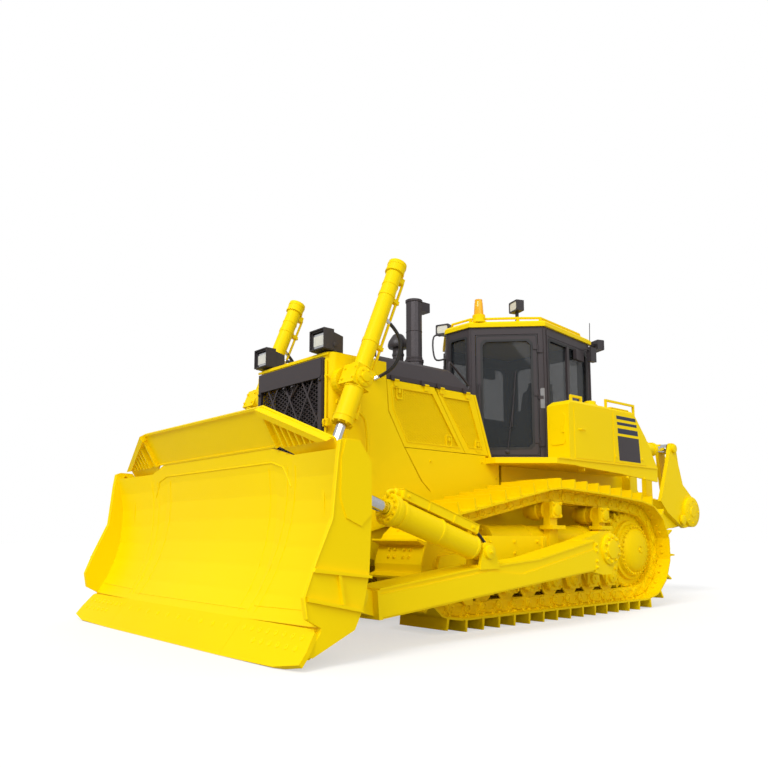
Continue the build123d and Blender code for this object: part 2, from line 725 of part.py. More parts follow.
CORNER = 45  # cut across the corners of panes
SIDE_WINDOW = ((90, SIDE_SPAN - 90), (2330, 3190))
REAR_WINDOW = ((-520, 520), (2380, 3190))
FRONT_WINDOW = ((-130, 130), (2150, 3220))
with BuildPart() as cab_shell:
    with BuildSketch(Plane.XY.offset(DECK_TOP)):
        cab_outline()
    extrude(amount=CAB_TOP - DECK_TOP)
    with BuildSketch(Plane.XY.offset(DECK_TOP + 40)):
        cab_outline(-CAB_WALL)
    extrude(amount=CAB_TOP - DECK_TOP, mode=Mode.SUBTRACT)
    wall_panel(DOOR_PLANE, (DOOR_START, DOOR_END), (DOOR_BASE, DOOR_HEAD), CAB_WALL + 20, -1,
               mode=Mode.SUBTRACT)
    wall_panel(SIDE_PLANE, *SIDE_WINDOW, CAB_WALL + 20, -1, CORNER, mode=Mode.SUBTRACT)
    for z in CAB_HINGE_Z:
        leaf = (z - HINGE_HALF - SEAT - KNUCKLE, z - HINGE_HALF - SEAT)
        wall_panel(DOOR_PLANE, (CAB_HINGE_S, CAB_HINGE_S + CAB_LEAF), leaf, CAB_HINGE_OUT + 5,
                   -CAB_HINGE_OUT)
        hinge_post(*leaf, sides=SMALL_SIDES)
    split(bisect_by=Plane.YZ, keep=Keep.TOP)
    mirror(about=Plane.YZ)
    block(REAR_WINDOW[0], (CAB_REAR[1] - 80, CAB_REAR[1] + 10), REAR_WINDOW[1], Mode.SUBTRACT)
    block(FRONT_WINDOW[0], (CAB_FRONT[1] - 10, CAB_FRONT[1] + 80), FRONT_WINDOW[1], Mode.SUBTRACT)
write(cab_shell, "cab_shell")

with BuildPart() as cab_roof:
    with BuildSketch(Plane.XY.offset(CAB_TOP)):
        cab_outline(25)
    extrude(amount=70)
    chamfer(cab_roof.faces().sort_by(Axis.Z)[-1].edges(), 25)
write(cab_roof, "cab_roof")

GLASS = 8
with BuildPart() as cab_windows:
    wall_panel(SIDE_PLANE, (SIDE_WINDOW[0][0] + SEAT, SIDE_WINDOW[0][1] - SEAT),
               (SIDE_WINDOW[1][0] + SEAT, SIDE_WINDOW[1][1] - SEAT), GLASS, 20, CORNER)
    mirror(about=Plane.YZ)
    block((REAR_WINDOW[0][0] + SEAT, REAR_WINDOW[0][1] - SEAT), (CAB_REAR[1] - 30, CAB_REAR[1] - 22),
          (REAR_WINDOW[1][0] + SEAT, REAR_WINDOW[1][1] - SEAT))
    block((FRONT_WINDOW[0][0] + SEAT, FRONT_WINDOW[0][1] - SEAT), (CAB_FRONT[1] + 22, CAB_FRONT[1] + 30),
          (FRONT_WINDOW[1][0] + SEAT, FRONT_WINDOW[1][1] - SEAT))
write(cab_windows, "cab_windows")

PANE = ((DOOR_START + 75, DOOR_END - 75), (DOOR_BASE + 90, DOOR_HEAD - 75))
with BuildPart() as cab_door_left:
    wall_panel(DOOR_PLANE, (DOOR_START + GAP, DOOR_END - GAP), (DOOR_BASE + GAP, DOOR_HEAD - GAP),
               DOOR_THICK)
    wall_panel(DOOR_PLANE, *PANE, DOOR_THICK + 2, -1, CORNER, mode=Mode.SUBTRACT)
    for z in CAB_HINGE_Z:
        leaf = (z - HINGE_HALF, z + HINGE_HALF)
        wall_panel(DOOR_PLANE, (CAB_HINGE_S - CAB_LEAF, CAB_HINGE_S), leaf, CAB_HINGE_OUT, -CAB_HINGE_OUT)
        hinge_post(*leaf)
write(cab_door_left, "cab_door_left")
with BuildPart() as cab_door_right:
    mirror(cab_door_left.part, about=Plane.YZ)
write(cab_door_right, "cab_door_right")
with BuildPart() as cab_door_glass_left:
    wall_panel(DOOR_PLANE, (PANE[0][0] + SEAT, PANE[0][1] - SEAT), (PANE[1][0] + SEAT, PANE[1][1] - SEAT),
               GLASS, 16, CORNER)
write(cab_door_glass_left, "cab_door_glass_left")
with BuildPart() as cab_door_glass_right:
    mirror(cab_door_glass_left.part, about=Plane.YZ)
write(cab_door_glass_right, "cab_door_glass_right")

FLOOR = DECK_TOP + 40
with BuildPart() as operator_seat:
    block((-210, 210), (620, 1060), (FLOOR, FLOOR + 260))
    block((-250, 250), (560, 1080), (FLOOR + 260, FLOOR + 430))
    side_plate([(1000, FLOOR + 380), (1090, FLOOR + 380), (1230, FLOOR + 1130), (1130, FLOOR + 1130)],
               -230, 230)
write(operator_seat, "operator_seat")

with BuildPart() as control_consoles:
    block((300, 480), (300, 1000), (FLOOR, FLOOR + 620))
    mirror(about=Plane.YZ)
    block((-130, 130), (CAB_FRONT[1] + 110, CAB_FRONT[1] + 260), (FLOOR, FLOOR + 620))
write(control_consoles, "control_consoles")

# ---------------------------------------------------------------- stacks and lamps
STACK = (0, -1132)
with BuildPart() as exhaust_stack:
    post(STACK, 104, HOOD_TOP, HOOD_TOP + 190)
    post(STACK, 92, HOOD_TOP, HOOD_TOP + 895)
    block((STACK[0] - 60, STACK[0] + 60), (STACK[1] + 60, STACK[1] + 200), (HOOD_TOP + 780, HOOD_TOP + 890))
write(exhaust_stack, "exhaust_stack")

INTAKE = (-300, -1108)
with BuildPart() as precleaner:
    post(INTAKE, 65, HOOD_TOP, HOOD_TOP + 400)
    post(INTAKE, 108, HOOD_TOP + 400, HOOD_TOP + 470)
    post(INTAKE, 60, HOOD_TOP + 470, HOOD_TOP + 550)
write(precleaner, "precleaner")

LAMP_X = 496
with BuildPart() as front_lamps:
    side_plate([(-2850, 2588), (-2640, 2572), (-2640, 2735), (-2850, 2785)], LAMP_X - 112, LAMP_X + 112)
    block((LAMP_X - 88, LAMP_X + 88), (-2851, -2825), (2606, 2762), Mode.SUBTRACT)
    block((LAMP_X - 40, LAMP_X + 40), (-2780, -2680), (GUARD_TOP, 2600))
    mirror(about=Plane.YZ)
write(front_lamps, "front_lamps")

ROOF = CAB_TOP + 70
BEACON = (230, -270)
with BuildPart() as beacon:
    post(BEACON, 75, ROOF, ROOF + 100)
    post(BEACON, 46, ROOF, ROOF + 290)
write(beacon, "beacon")

with BuildPart() as roof_lamps:
    # two work lamps in front on feet, two behind on arms from the roof's edge
    for x, y, foot_y, z, turn in ((500, 122, 122, 3620, -20), (-560, -60, -15, 3520, 20)):
        block((x - 15, x + 15), (foot_y - 15, foot_y + 15), (ROOF, z - 20))
        with Locations(Location((x, y, z), (0, 0, turn))):
            Box(180, 90, 130)
    for side in (-1, 1):
        x = side * 650
        block((x - 15, x + 15), (CAB_REAR[1] + 25, 1560), (3335, 3370))
        with Locations(Location((x, 1590, 3352), (0, 0, side * 160))):
            Box(180, 90, 130)
write(roof_lamps, "roof_lamps")

with BuildPart() as handrails:
    rail = 13
    for x, y_low, low, y_high, high, top in (
        (1140, 255, TANK_TOP + SEAT, 450, TANK_TOP + SEAT, 2462),
        (1140, 975, TANK_TOP + SEAT, 1600, 2282, 2495),
    ):
        block((x - rail, x + rail), (y_low - rail, y_low + rail), (low, top))
        block((x - rail, x + rail), (y_high - rail, y_high + rail), (high, top))
        block((x - rail, x + rail), (y_low - rail, y_high + rail), (top - 2 * rail, top))
    mirror(about=Plane.YZ)
write(handrails, "handrails")

# ---------------------------------------------------------------- blade
EDGE_LOW = (-4128, 4)
EDGE_TOP = (-3925, 254)
BLADE_MID = (-3633, 876)
BLADE_TOP = (-3660, 1562)
WING_LOW = (-3902, 262)
WING_MID = (-3667, 880)
WING_TOP = (-3737, 1467)
BLADE_PLATE = 34
BLADE_FLATS = 7  # flats that follow the curve of the moldboard
CREASE_LOW_X = 1066
CREASE_IN_X = 970
CREASE_OUT_X = 1262
WING_X = 1962
END_PLATE = 38
BLADE_HALF = WING_X + END_PLATE


def arc_y(low, mid, top):
    """y of the arc through three (y, z) points, as a function of z."""
    a, b, c = (complex(*point) for point in (low, mid, top))
    w = (c - a) / (b - a)
    centre = (b - a) * (w - abs(w) ** 2) / (w - w.conjugate()) + a
    radius = abs(a - centre)
    return lambda z: centre.real + (radius**2 - (z - centre.imag) ** 2) ** 0.5


def blade_section(x_low, x_high, low, mid, top):
    """Moldboard section on a plane that leans from x_low at the bottom to x_high at the top."""
    rise = top[1] - low[1]
    run = x_high - x_low
    slant = hypot(rise, run) / rise
    plane = Plane(origin=(x_low, 0, low[1]), x_dir=(0, 1, 0), z_dir=(rise, 0, -run))
    face = arc_y(low, mid, top)
    heights = [low[1] + rise * step / BLADE_FLATS for step in range(BLADE_FLATS + 1)]
    front = [(face(z), (z - low[1]) * slant) for z in heights]
    back = [(y + BLADE_PLATE, v) for y, v in reversed(front)]
    with BuildSketch(plane) as profile:
        with BuildLine():
            Polyline(*front, *back, close=True)
        make_face()
    return profile.sketch


def mirrored_sections():
    half = [
        (WING_X, WING_X, WING_LOW, WING_MID, WING_TOP),
        (CREASE_LOW_X + 4, CREASE_OUT_X, EDGE_TOP, (-3645, 870), (-3648, 1482)),
        (CREASE_LOW_X, CREASE_IN_X, EDGE_TOP, BLADE_MID, BLADE_TOP),
    ]
    return half, [(-a, -b, low, mid, top) for a, b, low, mid, top in reversed(half)]


LIFTING_EYE = (-3646, 1487)
LIFTING_EYE_R = 16
EAR = 32
EAR_AT = 70  # ear centre from the cylinder centre
CLEVIS_X = 1680
CLEVIS_AT = 118
EDGE_THICK = 36
EDGE_DIR = Vector(0, EDGE_TOP[0] - EDGE_LOW[0], EDGE_TOP[1] - EDGE_LOW[1]).normalized()
EDGE_OUT = Vector(0, -EDGE_DIR.Z, EDGE_DIR.Y)
EDGE_LENGTH = length(EDGE_LOW, EDGE_TOP)
CENTRE_RIBS = (-620, -210, 210, 620)


CENTRE_FACE = arc_y(EDGE_TOP, BLADE_MID, BLADE_TOP)
WING_FACE = arc_y(WING_LOW, WING_MID, WING_TOP)


def back_beam(heights, rear):
    """Box beam that follows the back of the moldboard from wing to wing."""
    sections = []
    for x, face in ((-WING_X, WING_FACE), (-CREASE_OUT_X, CENTRE_FACE), (CREASE_OUT_X, CENTRE_FACE),
                    (WING_X, WING_FACE)):
        with BuildSketch(Plane.YZ.offset(x)) as profile:
            with BuildLine():
                Polyline(*[(face(z) + BLADE_PLATE - 8, z) for z in heights], *rear, close=True)
            make_face()
        sections.append(profile.sketch)
    loft(sections, ruled=True)


def edge_point(distance, depth):
    """(y, z) at a distance up the cutting edge and a depth behind its face."""
    y = EDGE_LOW[0] + EDGE_DIR.Y * distance - EDGE_OUT.Y * depth
    z = EDGE_LOW[1] + EDGE_DIR.Z * distance - EDGE_OUT.Z * depth
    return (y, z)


with BuildPart() as moldboard:
    left_half, right_half = mirrored_sections()
    loft([blade_section(*section) for section in left_half + right_half], ruled=True)
    # seat behind the bolted cutting edges
    seat = EDGE_THICK + SEAT
    side_plate([edge_point(110, seat), edge_point(EDGE_LENGTH + 12, seat), (-3884, 276), (-3862, 276),
                edge_point(EDGE_LENGTH + 70, seat + 50), edge_point(EDGE_LENGTH - 40, seat + 90),
                edge_point(150, seat + 60)], -WING_X, WING_X)
    # closed box beams along the back
    back_beam((290, 430, 600), ((-3560, 600), (-3560, 330), (-3700, 240), (-3800, 240)))
    back_beam((1180, 1320, 1462), ((-3560, 1462), (-3520, 1380), (-3520, 1240), (-3560, 1180)))
    for x in CENTRE_RIBS:
        heights = (590, 740, 890, 1040, 1190)
        side_plate([(CENTRE_FACE(z) + BLADE_PLATE / 2, z) for z in heights] + [(-3530, 1190), (-3565, 590)],
                   x - 12, x + 12)
    # end plates with a forward lip
    for x in (-BLADE_HALF, WING_X):
        side_plate([(-3744, 1523), (-3762, 1391), (-3805, 980), (-3948, 668), (-4034, 465), (-4012, 326),
                    (-3893, 262), edge_point(EDGE_LENGTH, seat), edge_point(140, seat), (-3960, 75),
                    (-3607, 227),
                    (-3534, 367), (-3480, 600), (-3460, 1010), (-3461, 1389), (-3570, 1536), (-3700, 1540)],
                   x, x + END_PLATE)
        with BuildSketch(Plane.YZ.offset(x - 1)) as eye:
            with Locations(LIFTING_EYE):
                Circle(LIFTING_EYE_R)
        extrude(eye.sketch, amount=END_PLATE + 2, mode=Mode.SUBTRACT)
    for side in (-1, 1):
        # clevis for the push arm
        for x in (side * CLEVIS_X - CLEVIS_AT, side * CLEVIS_X + CLEVIS_AT):
            side_plate([(-3720, 560), near(ARM_PIVOT, -60, 130), near(ARM_PIVOT, 60, 110),
                        near(ARM_PIVOT, 120, 0), near(ARM_PIVOT, 60, -110), (-3700, 260)],
                       x - 22, x + 22)
        bar_x(ARM_PIVOT, ARM_PIN_R, side * CLEVIS_X - CLEVIS_AT, side * CLEVIS_X + CLEVIS_AT)
        # ears for the lift cylinder rod, whose eye stays free between them
        for x in (side * LIFT_X - EAR_AT, side * LIFT_X + EAR_AT):
            side_plate([(-3600, 1200), near(LIFT_PIN, -40, 85), near(LIFT_PIN, 70, 40),
                        near(LIFT_PIN, 80, -30), near(LIFT_PIN, 0, -85), (-3600, 590)],
                       x - EAR / 2, x + EAR / 2)
        # ears for the tilt cylinder rod
        for x in (side * TILT_X - EAR_AT, side * TILT_X + EAR_AT):
            side_plate([(-3655, 1330), near(TILT_PIN, -20, 85), near(TILT_PIN, 70, 50),
                        near(TILT_PIN, 85, -20), near(TILT_PIN, 0, -85), (-3650, 1000)],
                       x - EAR / 2, x + EAR / 2)
write(moldboard, "moldboard")

BIT_HALF = 2030
with BuildPart() as cutting_edges:
    with BuildSketch(Plane(origin=(0, *EDGE_LOW), x_dir=(1, 0, 0), z_dir=EDGE_OUT)):
        with Locations((0, EDGE_LENGTH / 2)):
            Rectangle(2 * CREASE_LOW_X - 4, EDGE_LENGTH)
        with BuildLine():
            Polyline((CREASE_LOW_X, 0), (1773, 12), (BIT_HALF, 62), (BIT_HALF, 150),
                     (1990, EDGE_LENGTH - 20),
                     (1955, EDGE_LENGTH), (CREASE_LOW_X, EDGE_LENGTH), close=True)
        make_face()
        with BuildLine():
            Polyline((-CREASE_LOW_X, 0), (-1773, 12), (-BIT_HALF, 62), (-BIT_HALF, 150),
                     (-1990, EDGE_LENGTH - 20),
                     (-1955, EDGE_LENGTH), (-CREASE_LOW_X, EDGE_LENGTH), close=True)
        make_face()
    extrude(amount=-EDGE_THICK)
    block((-BIT_HALF - 1, BIT_HALF + 1), (EDGE_LOW[0] - 100, EDGE_LOW[0] + 200), (-100, EDGE_LOW[1]),
          Mode.SUBTRACT)
write(cutting_edges, "cutting_edges")

GUARD_LEAN = (-3833, 1865)
GUARD_RISE = length(BLADE_TOP, GUARD_LEAN)
LEAN_DIR = Vector(0, GUARD_LEAN[0] - BLADE_TOP[0], GUARD_LEAN[1] - BLADE_TOP[1]).normalized()
LEAN_OUT = Vector(0, -LEAN_DIR.Z, LEAN_DIR.Y)
GUARD_HALF = 1096
STRAP_END = 1800
GUARD_SEAT = (1462 + SEAT - BLADE_TOP[1]) / LEAN_DIR.Z  # down to the upper back beam
GUARD_THICK = 22
OPEN_WIDTH = 130
STRAP_WIDTH = 62
with BuildPart() as spill_guard:
    with BuildSketch(Plane(origin=(0, BLADE_TOP[0] + 6, BLADE_TOP[1] + SEAT), x_dir=(1, 0, 0),
                           z_dir=LEAN_OUT)) as sheet:
        with BuildLine():
            Polyline((-GUARD_HALF, 0), (-GUARD_HALF, GUARD_RISE), (GUARD_HALF, GUARD_RISE),
                     (GUARD_HALF, 0), close=True)
        make_face()
        for side in (-1, 1):
            outline = [(GUARD_HALF, 0), (GUARD_HALF, GUARD_RISE), (STRAP_END, 0), (STRAP_END, GUARD_SEAT),
                       (CREASE_OUT_X + 4, GUARD_SEAT), (CREASE_OUT_X - 10, -80)]
            with BuildLine():
                Polyline(*[(side * x, v) for x, v in outline], close=True)
            make_face()
        # see-through corner beside the centre sheet, under the sloping strap
        strap_low = GUARD_RISE * (1 - OPEN_WIDTH / (STRAP_END - GUARD_HALF)) - STRAP_WIDTH
        for side in (-1, 1):
            with BuildLine():
                Polyline((side * (GUARD_HALF + 20), GUARD_RISE - STRAP_WIDTH - 15),
                         (side * (GUARD_HALF + OPEN_WIDTH), strap_low), (side * (GUARD_HALF + OPEN_WIDTH),
                                                                         110),
                         close=True)
            make_face(mode=Mode.SUBTRACT)
    extrude(amount=-GUARD_THICK)
write(spill_guard, "spill_guard")

# ---------------------------------------------------------------- push arms
ARM_EYE_IN, ARM_EYE_OUT = 1590, 1770
HEAD_IN, HEAD_OUT = 1440, 1600  # bearing head at the trunnion, set inward of the beam
ARM_REAR = -380
with BuildPart() as push_arms:
    side_plate([(-3228, 250), (-3262, 465), (-2137, 586), (-1313, 640), (-407, 802), (ARM_REAR, 806),
                (ARM_REAR, 517)],
               ARM_IN, ARM_OUT)
    side_plate([(-900, 590), (-900, 690), (ARM_REAR, 800), (TRUNNION[0] - 150, 900),
                (TRUNNION[0] + 20, 900),
                (TRUNNION[0] + 130, 780), (TRUNNION[0] + 130, 640), (TRUNNION[0] + 10, 450),
                (TRUNNION[0] - 150, 450),
                (ARM_REAR, 530)], HEAD_IN, HEAD_OUT)
    side_plate([(-3228, 270), (-3262, 455), near(ARM_PIVOT, 30, 105), near(ARM_PIVOT, -60, 60),
                near(ARM_PIVOT, -60, -60), near(ARM_PIVOT, 30, -105)], ARM_EYE_IN, ARM_EYE_OUT)
    bar_x(ARM_PIVOT, ARM_PIN_R + SEAT, ARM_EYE_IN - 5, ARM_EYE_OUT + 5, Mode.SUBTRACT)
    bar_x(TRUNNION, TRUNNION_R + SEAT, HEAD_IN - 5, HEAD_OUT - 25, Mode.SUBTRACT)
    for x in (TILT_X - EAR_AT, TILT_X + EAR_AT):
        side_plate([(TILT_BASE[0] - 110, 580), near(TILT_BASE, -70, 40), near(TILT_BASE, -20, 80),
                    near(TILT_BASE, 50, 70), near(TILT_BASE, 90, 0), (TILT_BASE[0] + 140, 580)],
                   x - EAR / 2, x + EAR / 2)
    bar_x(TILT_BASE, EYE_PIN_R, TILT_X - EAR_AT, TILT_X + EAR_AT)
    mirror(about=Plane.YZ)
write(push_arms, "push_arms")


# ---------------------------------------------------------------- hydraulic cylinders
def stub(plane, start, end, radius, mode=Mode.ADD):
    """Round length along the plane's normal."""
    with BuildSketch(plane.offset(start)) as profile:
        Circle(radius)
    extrude(profile.sketch, amount=end - start, mode=mode)


def barrel(x, base, tip, start, end, radius, bore, bore_depth, gland, base_eye=None):
    """Cylinder barrel along base to tip, bored from its open end."""
    plane = cylinder_plane(x, base, tip)
    stub(plane, start, end, radius)
    stub(plane, end - 60, end, gland)
    if base_eye:
        eye_radius, eye_width = base_eye
        bar_x(base, eye_radius, x - eye_width / 2, x + eye_width / 2)
        stub(plane, 0, start, eye_width / 2 - 4)
        bar_x(base, EYE_PIN_R + SEAT, x - eye_width / 2 - 1, x + eye_width / 2 + 1, Mode.SUBTRACT)
    stub(plane, end - bore_depth, end + 1, bore, Mode.SUBTRACT)


def rod(x, base, tip, rod_length, radius, eye_radius, eye_width):
    """Piston rod that ends in an eye at the tip pin."""
    plane = cylinder_plane(x, base, tip)
    reach = length(base, tip)
    stub(plane, reach - rod_length, reach - eye_radius * 0.6, radius)
    bar_x(tip, eye_radius, x - eye_width / 2, x + eye_width / 2)


EYE_WIDTH = 96
LIFT_ROD_R = 45
LIFT_ABOVE = 1305  # barrel above its trunnion
LIFT_BELOW = 470
LIFT_TUBE_R = 78
LIFT_FOOT_R = 92
with BuildPart() as lift_barrels:
    plane = cylinder_plane(LIFT_X, LIFT_TOP, LIFT_PIN)
    stub(plane, -LIFT_ABOVE, -40, LIFT_TUBE_R)
    stub(plane, -LIFT_ABOVE, -LIFT_ABOVE + 110, LIFT_FOOT_R)
    stub(plane, -60, LIFT_BELOW, LIFT_FOOT_R)
    stub(plane, LIFT_BELOW - 60, LIFT_BELOW, LIFT_FOOT_R + 7)
    with BuildSketch(plane.offset(-100)):
        with Locations((-10, 0)):
            Rectangle(210, 215)
    extrude(amount=200)
    bar_x(LIFT_TOP, 70, BODY_HALF + BOSS_WIDTH + SEAT, LIFT_X - 100)
    stub(plane, -LIFT_ABOVE + 80, LIFT_BELOW + 1, LIFT_ROD_R + SEAT, Mode.SUBTRACT)
    mirror(about=Plane.YZ)
write(lift_barrels, "lift_barrels")

with BuildPart() as lift_rods:
    rod(LIFT_X, LIFT_TOP, LIFT_PIN, 1640, LIFT_ROD_R, 72, EYE_WIDTH)
    mirror(about=Plane.YZ)
write(lift_rods, "lift_rods")

TILT_ROD_R = 48
TILT_GLAND = 1130
with BuildPart() as tilt_barrels:
    barrel(TILT_X, TILT_BASE, TILT_PIN, 125, TILT_GLAND, 100, TILT_ROD_R + SEAT, 950, 125, (75, EYE_WIDTH))
    plane = cylinder_plane(TILT_X, TILT_BASE, TILT_PIN)
    with BuildSketch(plane.offset(150)):
        with Locations((0, 150)):
            Rectangle(110, 70)
    extrude(amount=900)
    for start in (190, 960):
        with BuildSketch(plane.offset(start)):
            with Locations((0, 105)):
                Rectangle(60, 60)
        extrude(amount=50)
    mirror(about=Plane.YZ)
write(tilt_barrels, "tilt_barrels")

with BuildPart() as tilt_rods:
    rod(TILT_X, TILT_BASE, TILT_PIN, 1150, TILT_ROD_R, 75, EYE_WIDTH)
    mirror(about=Plane.YZ)
write(tilt_rods, "tilt_rods")

# ---------------------------------------------------------------- ripper
PLATE = 54
ARM_HALF = 60
PLATE_AT = ARM_HALF + GAP + PLATE / 2  # plate centre from the arm's centre
PLATE_X = (RIP_X - PLATE_AT, RIP_X + PLATE_AT)
with BuildPart() as ripper_bracket:
    for side in (-1, 1):
        for x in PLATE_X:
            side_plate([(HULL_REAR, 760), (ARM_BASE[0] - 40, 880), (ARM_BASE[0] + 60, 890),
                        (ARM_BASE[0] + 110, 1000),
                        (ARM_BASE[0] + 60, 1110), (2430, 1250), (2430, 1850), near(TILT_ANCHOR, 46, -88),
                        near(TILT_ANCHOR, 95, 0), near(TILT_ANCHOR, 40, 90),
                        near(TILT_ANCHOR, -60, 70), (HULL_REAR + 60, 1800), (HULL_REAR, 1600)],
                       side * x - PLATE / 2, side * x + PLATE / 2)
        # pins from plate to plate
        bar_x(ARM_BASE, RIPPER_PIN_R, side * RIP_X - PLATE_AT, side * RIP_X + PLATE_AT)
        bar_x(TILT_ANCHOR, EYE_PIN_R, side * RIP_X - PLATE_AT, side * RIP_X + PLATE_AT)
        bar_x(RIP_LIFT_TOP, EYE_PIN_R, side * RIP_LIFT_X - EAR_AT, side * RIP_LIFT_X + EAR_AT)
        for x in (side * RIP_LIFT_X - EAR_AT, side * RIP_LIFT_X + EAR_AT):
            side_plate([(HULL_REAR + 20, 1700), near(RIP_LIFT_TOP, -20, -90),
                        near(RIP_LIFT_TOP, 85, -30), near(RIP_LIFT_TOP, 60, 60),
                        near(RIP_LIFT_TOP, -40, 80), (HULL_REAR + 20, 1960)], x - EAR / 2, x + EAR / 2)
    block((-650, 650), (HULL_REAR, HULL_REAR + 40), (760, 1640))
    block((-650, 650), (HULL_REAR + 20, HULL_REAR + 60), (1600, 1960))
write(ripper_bracket, "ripper_bracket")

with BuildPart() as ripper_arms:
    for side in (-1, 1):
        side_plate([near(ARM_BASE, -90, 0), near(ARM_BASE, -20, 95), (RIP_LIFT_PIN[0], 1190),
                    near(BEAM_PIVOT, 40, 85), near(BEAM_PIVOT, 90, 0),
                    near(BEAM_PIVOT, 40, -85), (3200, 930), near(ARM_BASE, -20, -90)],
                   side * RIP_X - ARM_HALF, side * RIP_X + ARM_HALF)
        for centre in (ARM_BASE, BEAM_PIVOT):
            bar_x(centre, RIPPER_PIN_R + SEAT, side * RIP_X - ARM_HALF - 5, side * RIP_X + ARM_HALF + 5,
                  Mode.SUBTRACT)
    bar_x((3120, 985), 75, -RIP_X, RIP_X)
    for side in (-1, 1):
        for x in (side * RIP_LIFT_X - EAR_AT, side * RIP_LIFT_X + EAR_AT):
            side_plate([(3080, 1040), near(RIP_LIFT_PIN, -40, 80), near(RIP_LIFT_PIN, 50, 70),
                        near(RIP_LIFT_PIN, 85, 0), near(RIP_LIFT_PIN, 30, -80), (3140, 915)],
                       x - EAR / 2, x + EAR / 2)
write(ripper_arms, "ripper_arms")

with BuildPart() as ripper_pivot_pins:
    bar_x(BEAM_PIVOT, RIPPER_PIN_R, RIP_X - 140, RIP_X + 140)
    mirror(about=Plane.YZ)
write(ripper_pivot_pins, "ripper_pivot_pins")

BEAM = (3906, 1200)
DRUM_R = 222
SHANK_HALF = 38
SHANK_FRONT = BEAM[0] - 88
SHANK_REAR = BEAM[0] + 92
TOWER_HEAD = [near(TOWER_PIN, -85, 0), near(TOWER_PIN, -45, 80),
              near(TOWER_PIN, 45, 80), near(TOWER_PIN, 90, 10), (3610, 1900),
              (3720, 1600), near(BEAM, 110, 200), near(BEAM, 110, -200), (3700, 960)]
with BuildPart() as ripper_beam:
    # slender inner plates clear the arms' cross tube; the outer plates are wide gussets
    for x, foot in (
        (PLATE_X[0], [(3560, 1020), (3550, 1140), (3440, 1700)]),
        (PLATE_X[1], [(3560, 1020), (3240, 1180), (3060, 1340), (3150, 1540), (3300, 1880)]),
    ):
        side_plate(foot + TOWER_HEAD, x - PLATE / 2, x + PLATE / 2)
        bar_x(BEAM_PIVOT, RIPPER_PIN_R + SEAT, x - PLATE / 2 - 5, x + PLATE / 2 + 5, Mode.SUBTRACT)
    bar_x(BEAM, DRUM_R, PLATE_X[1], 700, sides=LARGE_SIDES)
    mirror(about=Plane.YZ)
    side_plate([(BEAM[0] + dy, BEAM[1] + dz) for dy, dz in
                ((-148, -190), (-148, 200), (172, 200), (202, 0), (142, -190))], -PLATE_X[0], PLATE_X[0])
    side_plate([(BEAM[0] + dy, BEAM[1] + dz) for dy, dz in
                ((-98, -140), (-98, 180), (152, 180), (152, -140))], -PLATE_X[1], PLATE_X[1])
    block((-SHANK_HALF - SEAT, SHANK_HALF + SEAT), (SHANK_FRONT - SEAT, SHANK_REAR + SEAT), (900, 1500),
          Mode.SUBTRACT)
write(ripper_beam, "ripper_beam")

with BuildPart() as ripper_shank:
    side_plate([(SHANK_FRONT, 1900), (SHANK_REAR, 1900), (SHANK_REAR, 900), (SHANK_REAR - 50, 700),
                (SHANK_FRONT - 40, 520), (SHANK_FRONT - 110, 540), (SHANK_FRONT - 60, 700),
                (SHANK_FRONT, 900)],
               -SHANK_HALF, SHANK_HALF)
write(ripper_shank, "ripper_shank")

RIP_ROD_R = 45
RIP_GLAND = 820
with BuildPart() as ripper_lift_barrels:
    barrel(RIP_LIFT_X, RIP_LIFT_TOP, RIP_LIFT_PIN, 125, RIP_GLAND, 85, RIP_ROD_R + SEAT, RIP_GLAND - 150,
           98,
           (75, EYE_WIDTH))
    mirror(about=Plane.YZ)
write(ripper_lift_barrels, "ripper_lift_barrels")

with BuildPart() as ripper_lift_rods:
    rod(RIP_LIFT_X, RIP_LIFT_TOP, RIP_LIFT_PIN, 860, RIP_ROD_R, 72, EYE_WIDTH)
    mirror(about=Plane.YZ)
write(ripper_lift_rods, "ripper_lift_rods")

RIP_TILT_GLAND = 700
with BuildPart() as ripper_tilt_barrels:
    barrel(RIP_X, TILT_ANCHOR, TOWER_PIN, 130, RIP_TILT_GLAND, 85, RIP_ROD_R + SEAT, RIP_TILT_GLAND - 155,
           98,
           (75, EYE_WIDTH))
    mirror(about=Plane.YZ)
write(ripper_tilt_barrels, "ripper_tilt_barrels")

with BuildPart() as ripper_tilt_rods:
    rod(RIP_X, TILT_ANCHOR, TOWER_PIN, 700, RIP_ROD_R, 75, EYE_WIDTH)
    mirror(about=Plane.YZ)
write(ripper_tilt_rods, "ripper_tilt_rods")
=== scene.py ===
# %% [markdown]
# # A crawler dozer, dressed
#
# The machine's solid pieces come from a fixed frame: hull, tracks, blade, cab and ripper at
# their real size. This lesson gives them their finish and adds what is too small for solids:
# bolts, link bosses, mesh, hoses, lenses and stripes. Everything is in metres, the machine
# faces -Y, +X is its left-hand side and +Z is up.

# %% Load the frame
import json
import math

import bmesh
import bpy
from mathutils import Matrix, Vector
from mathutils.bvhtree import BVHTree


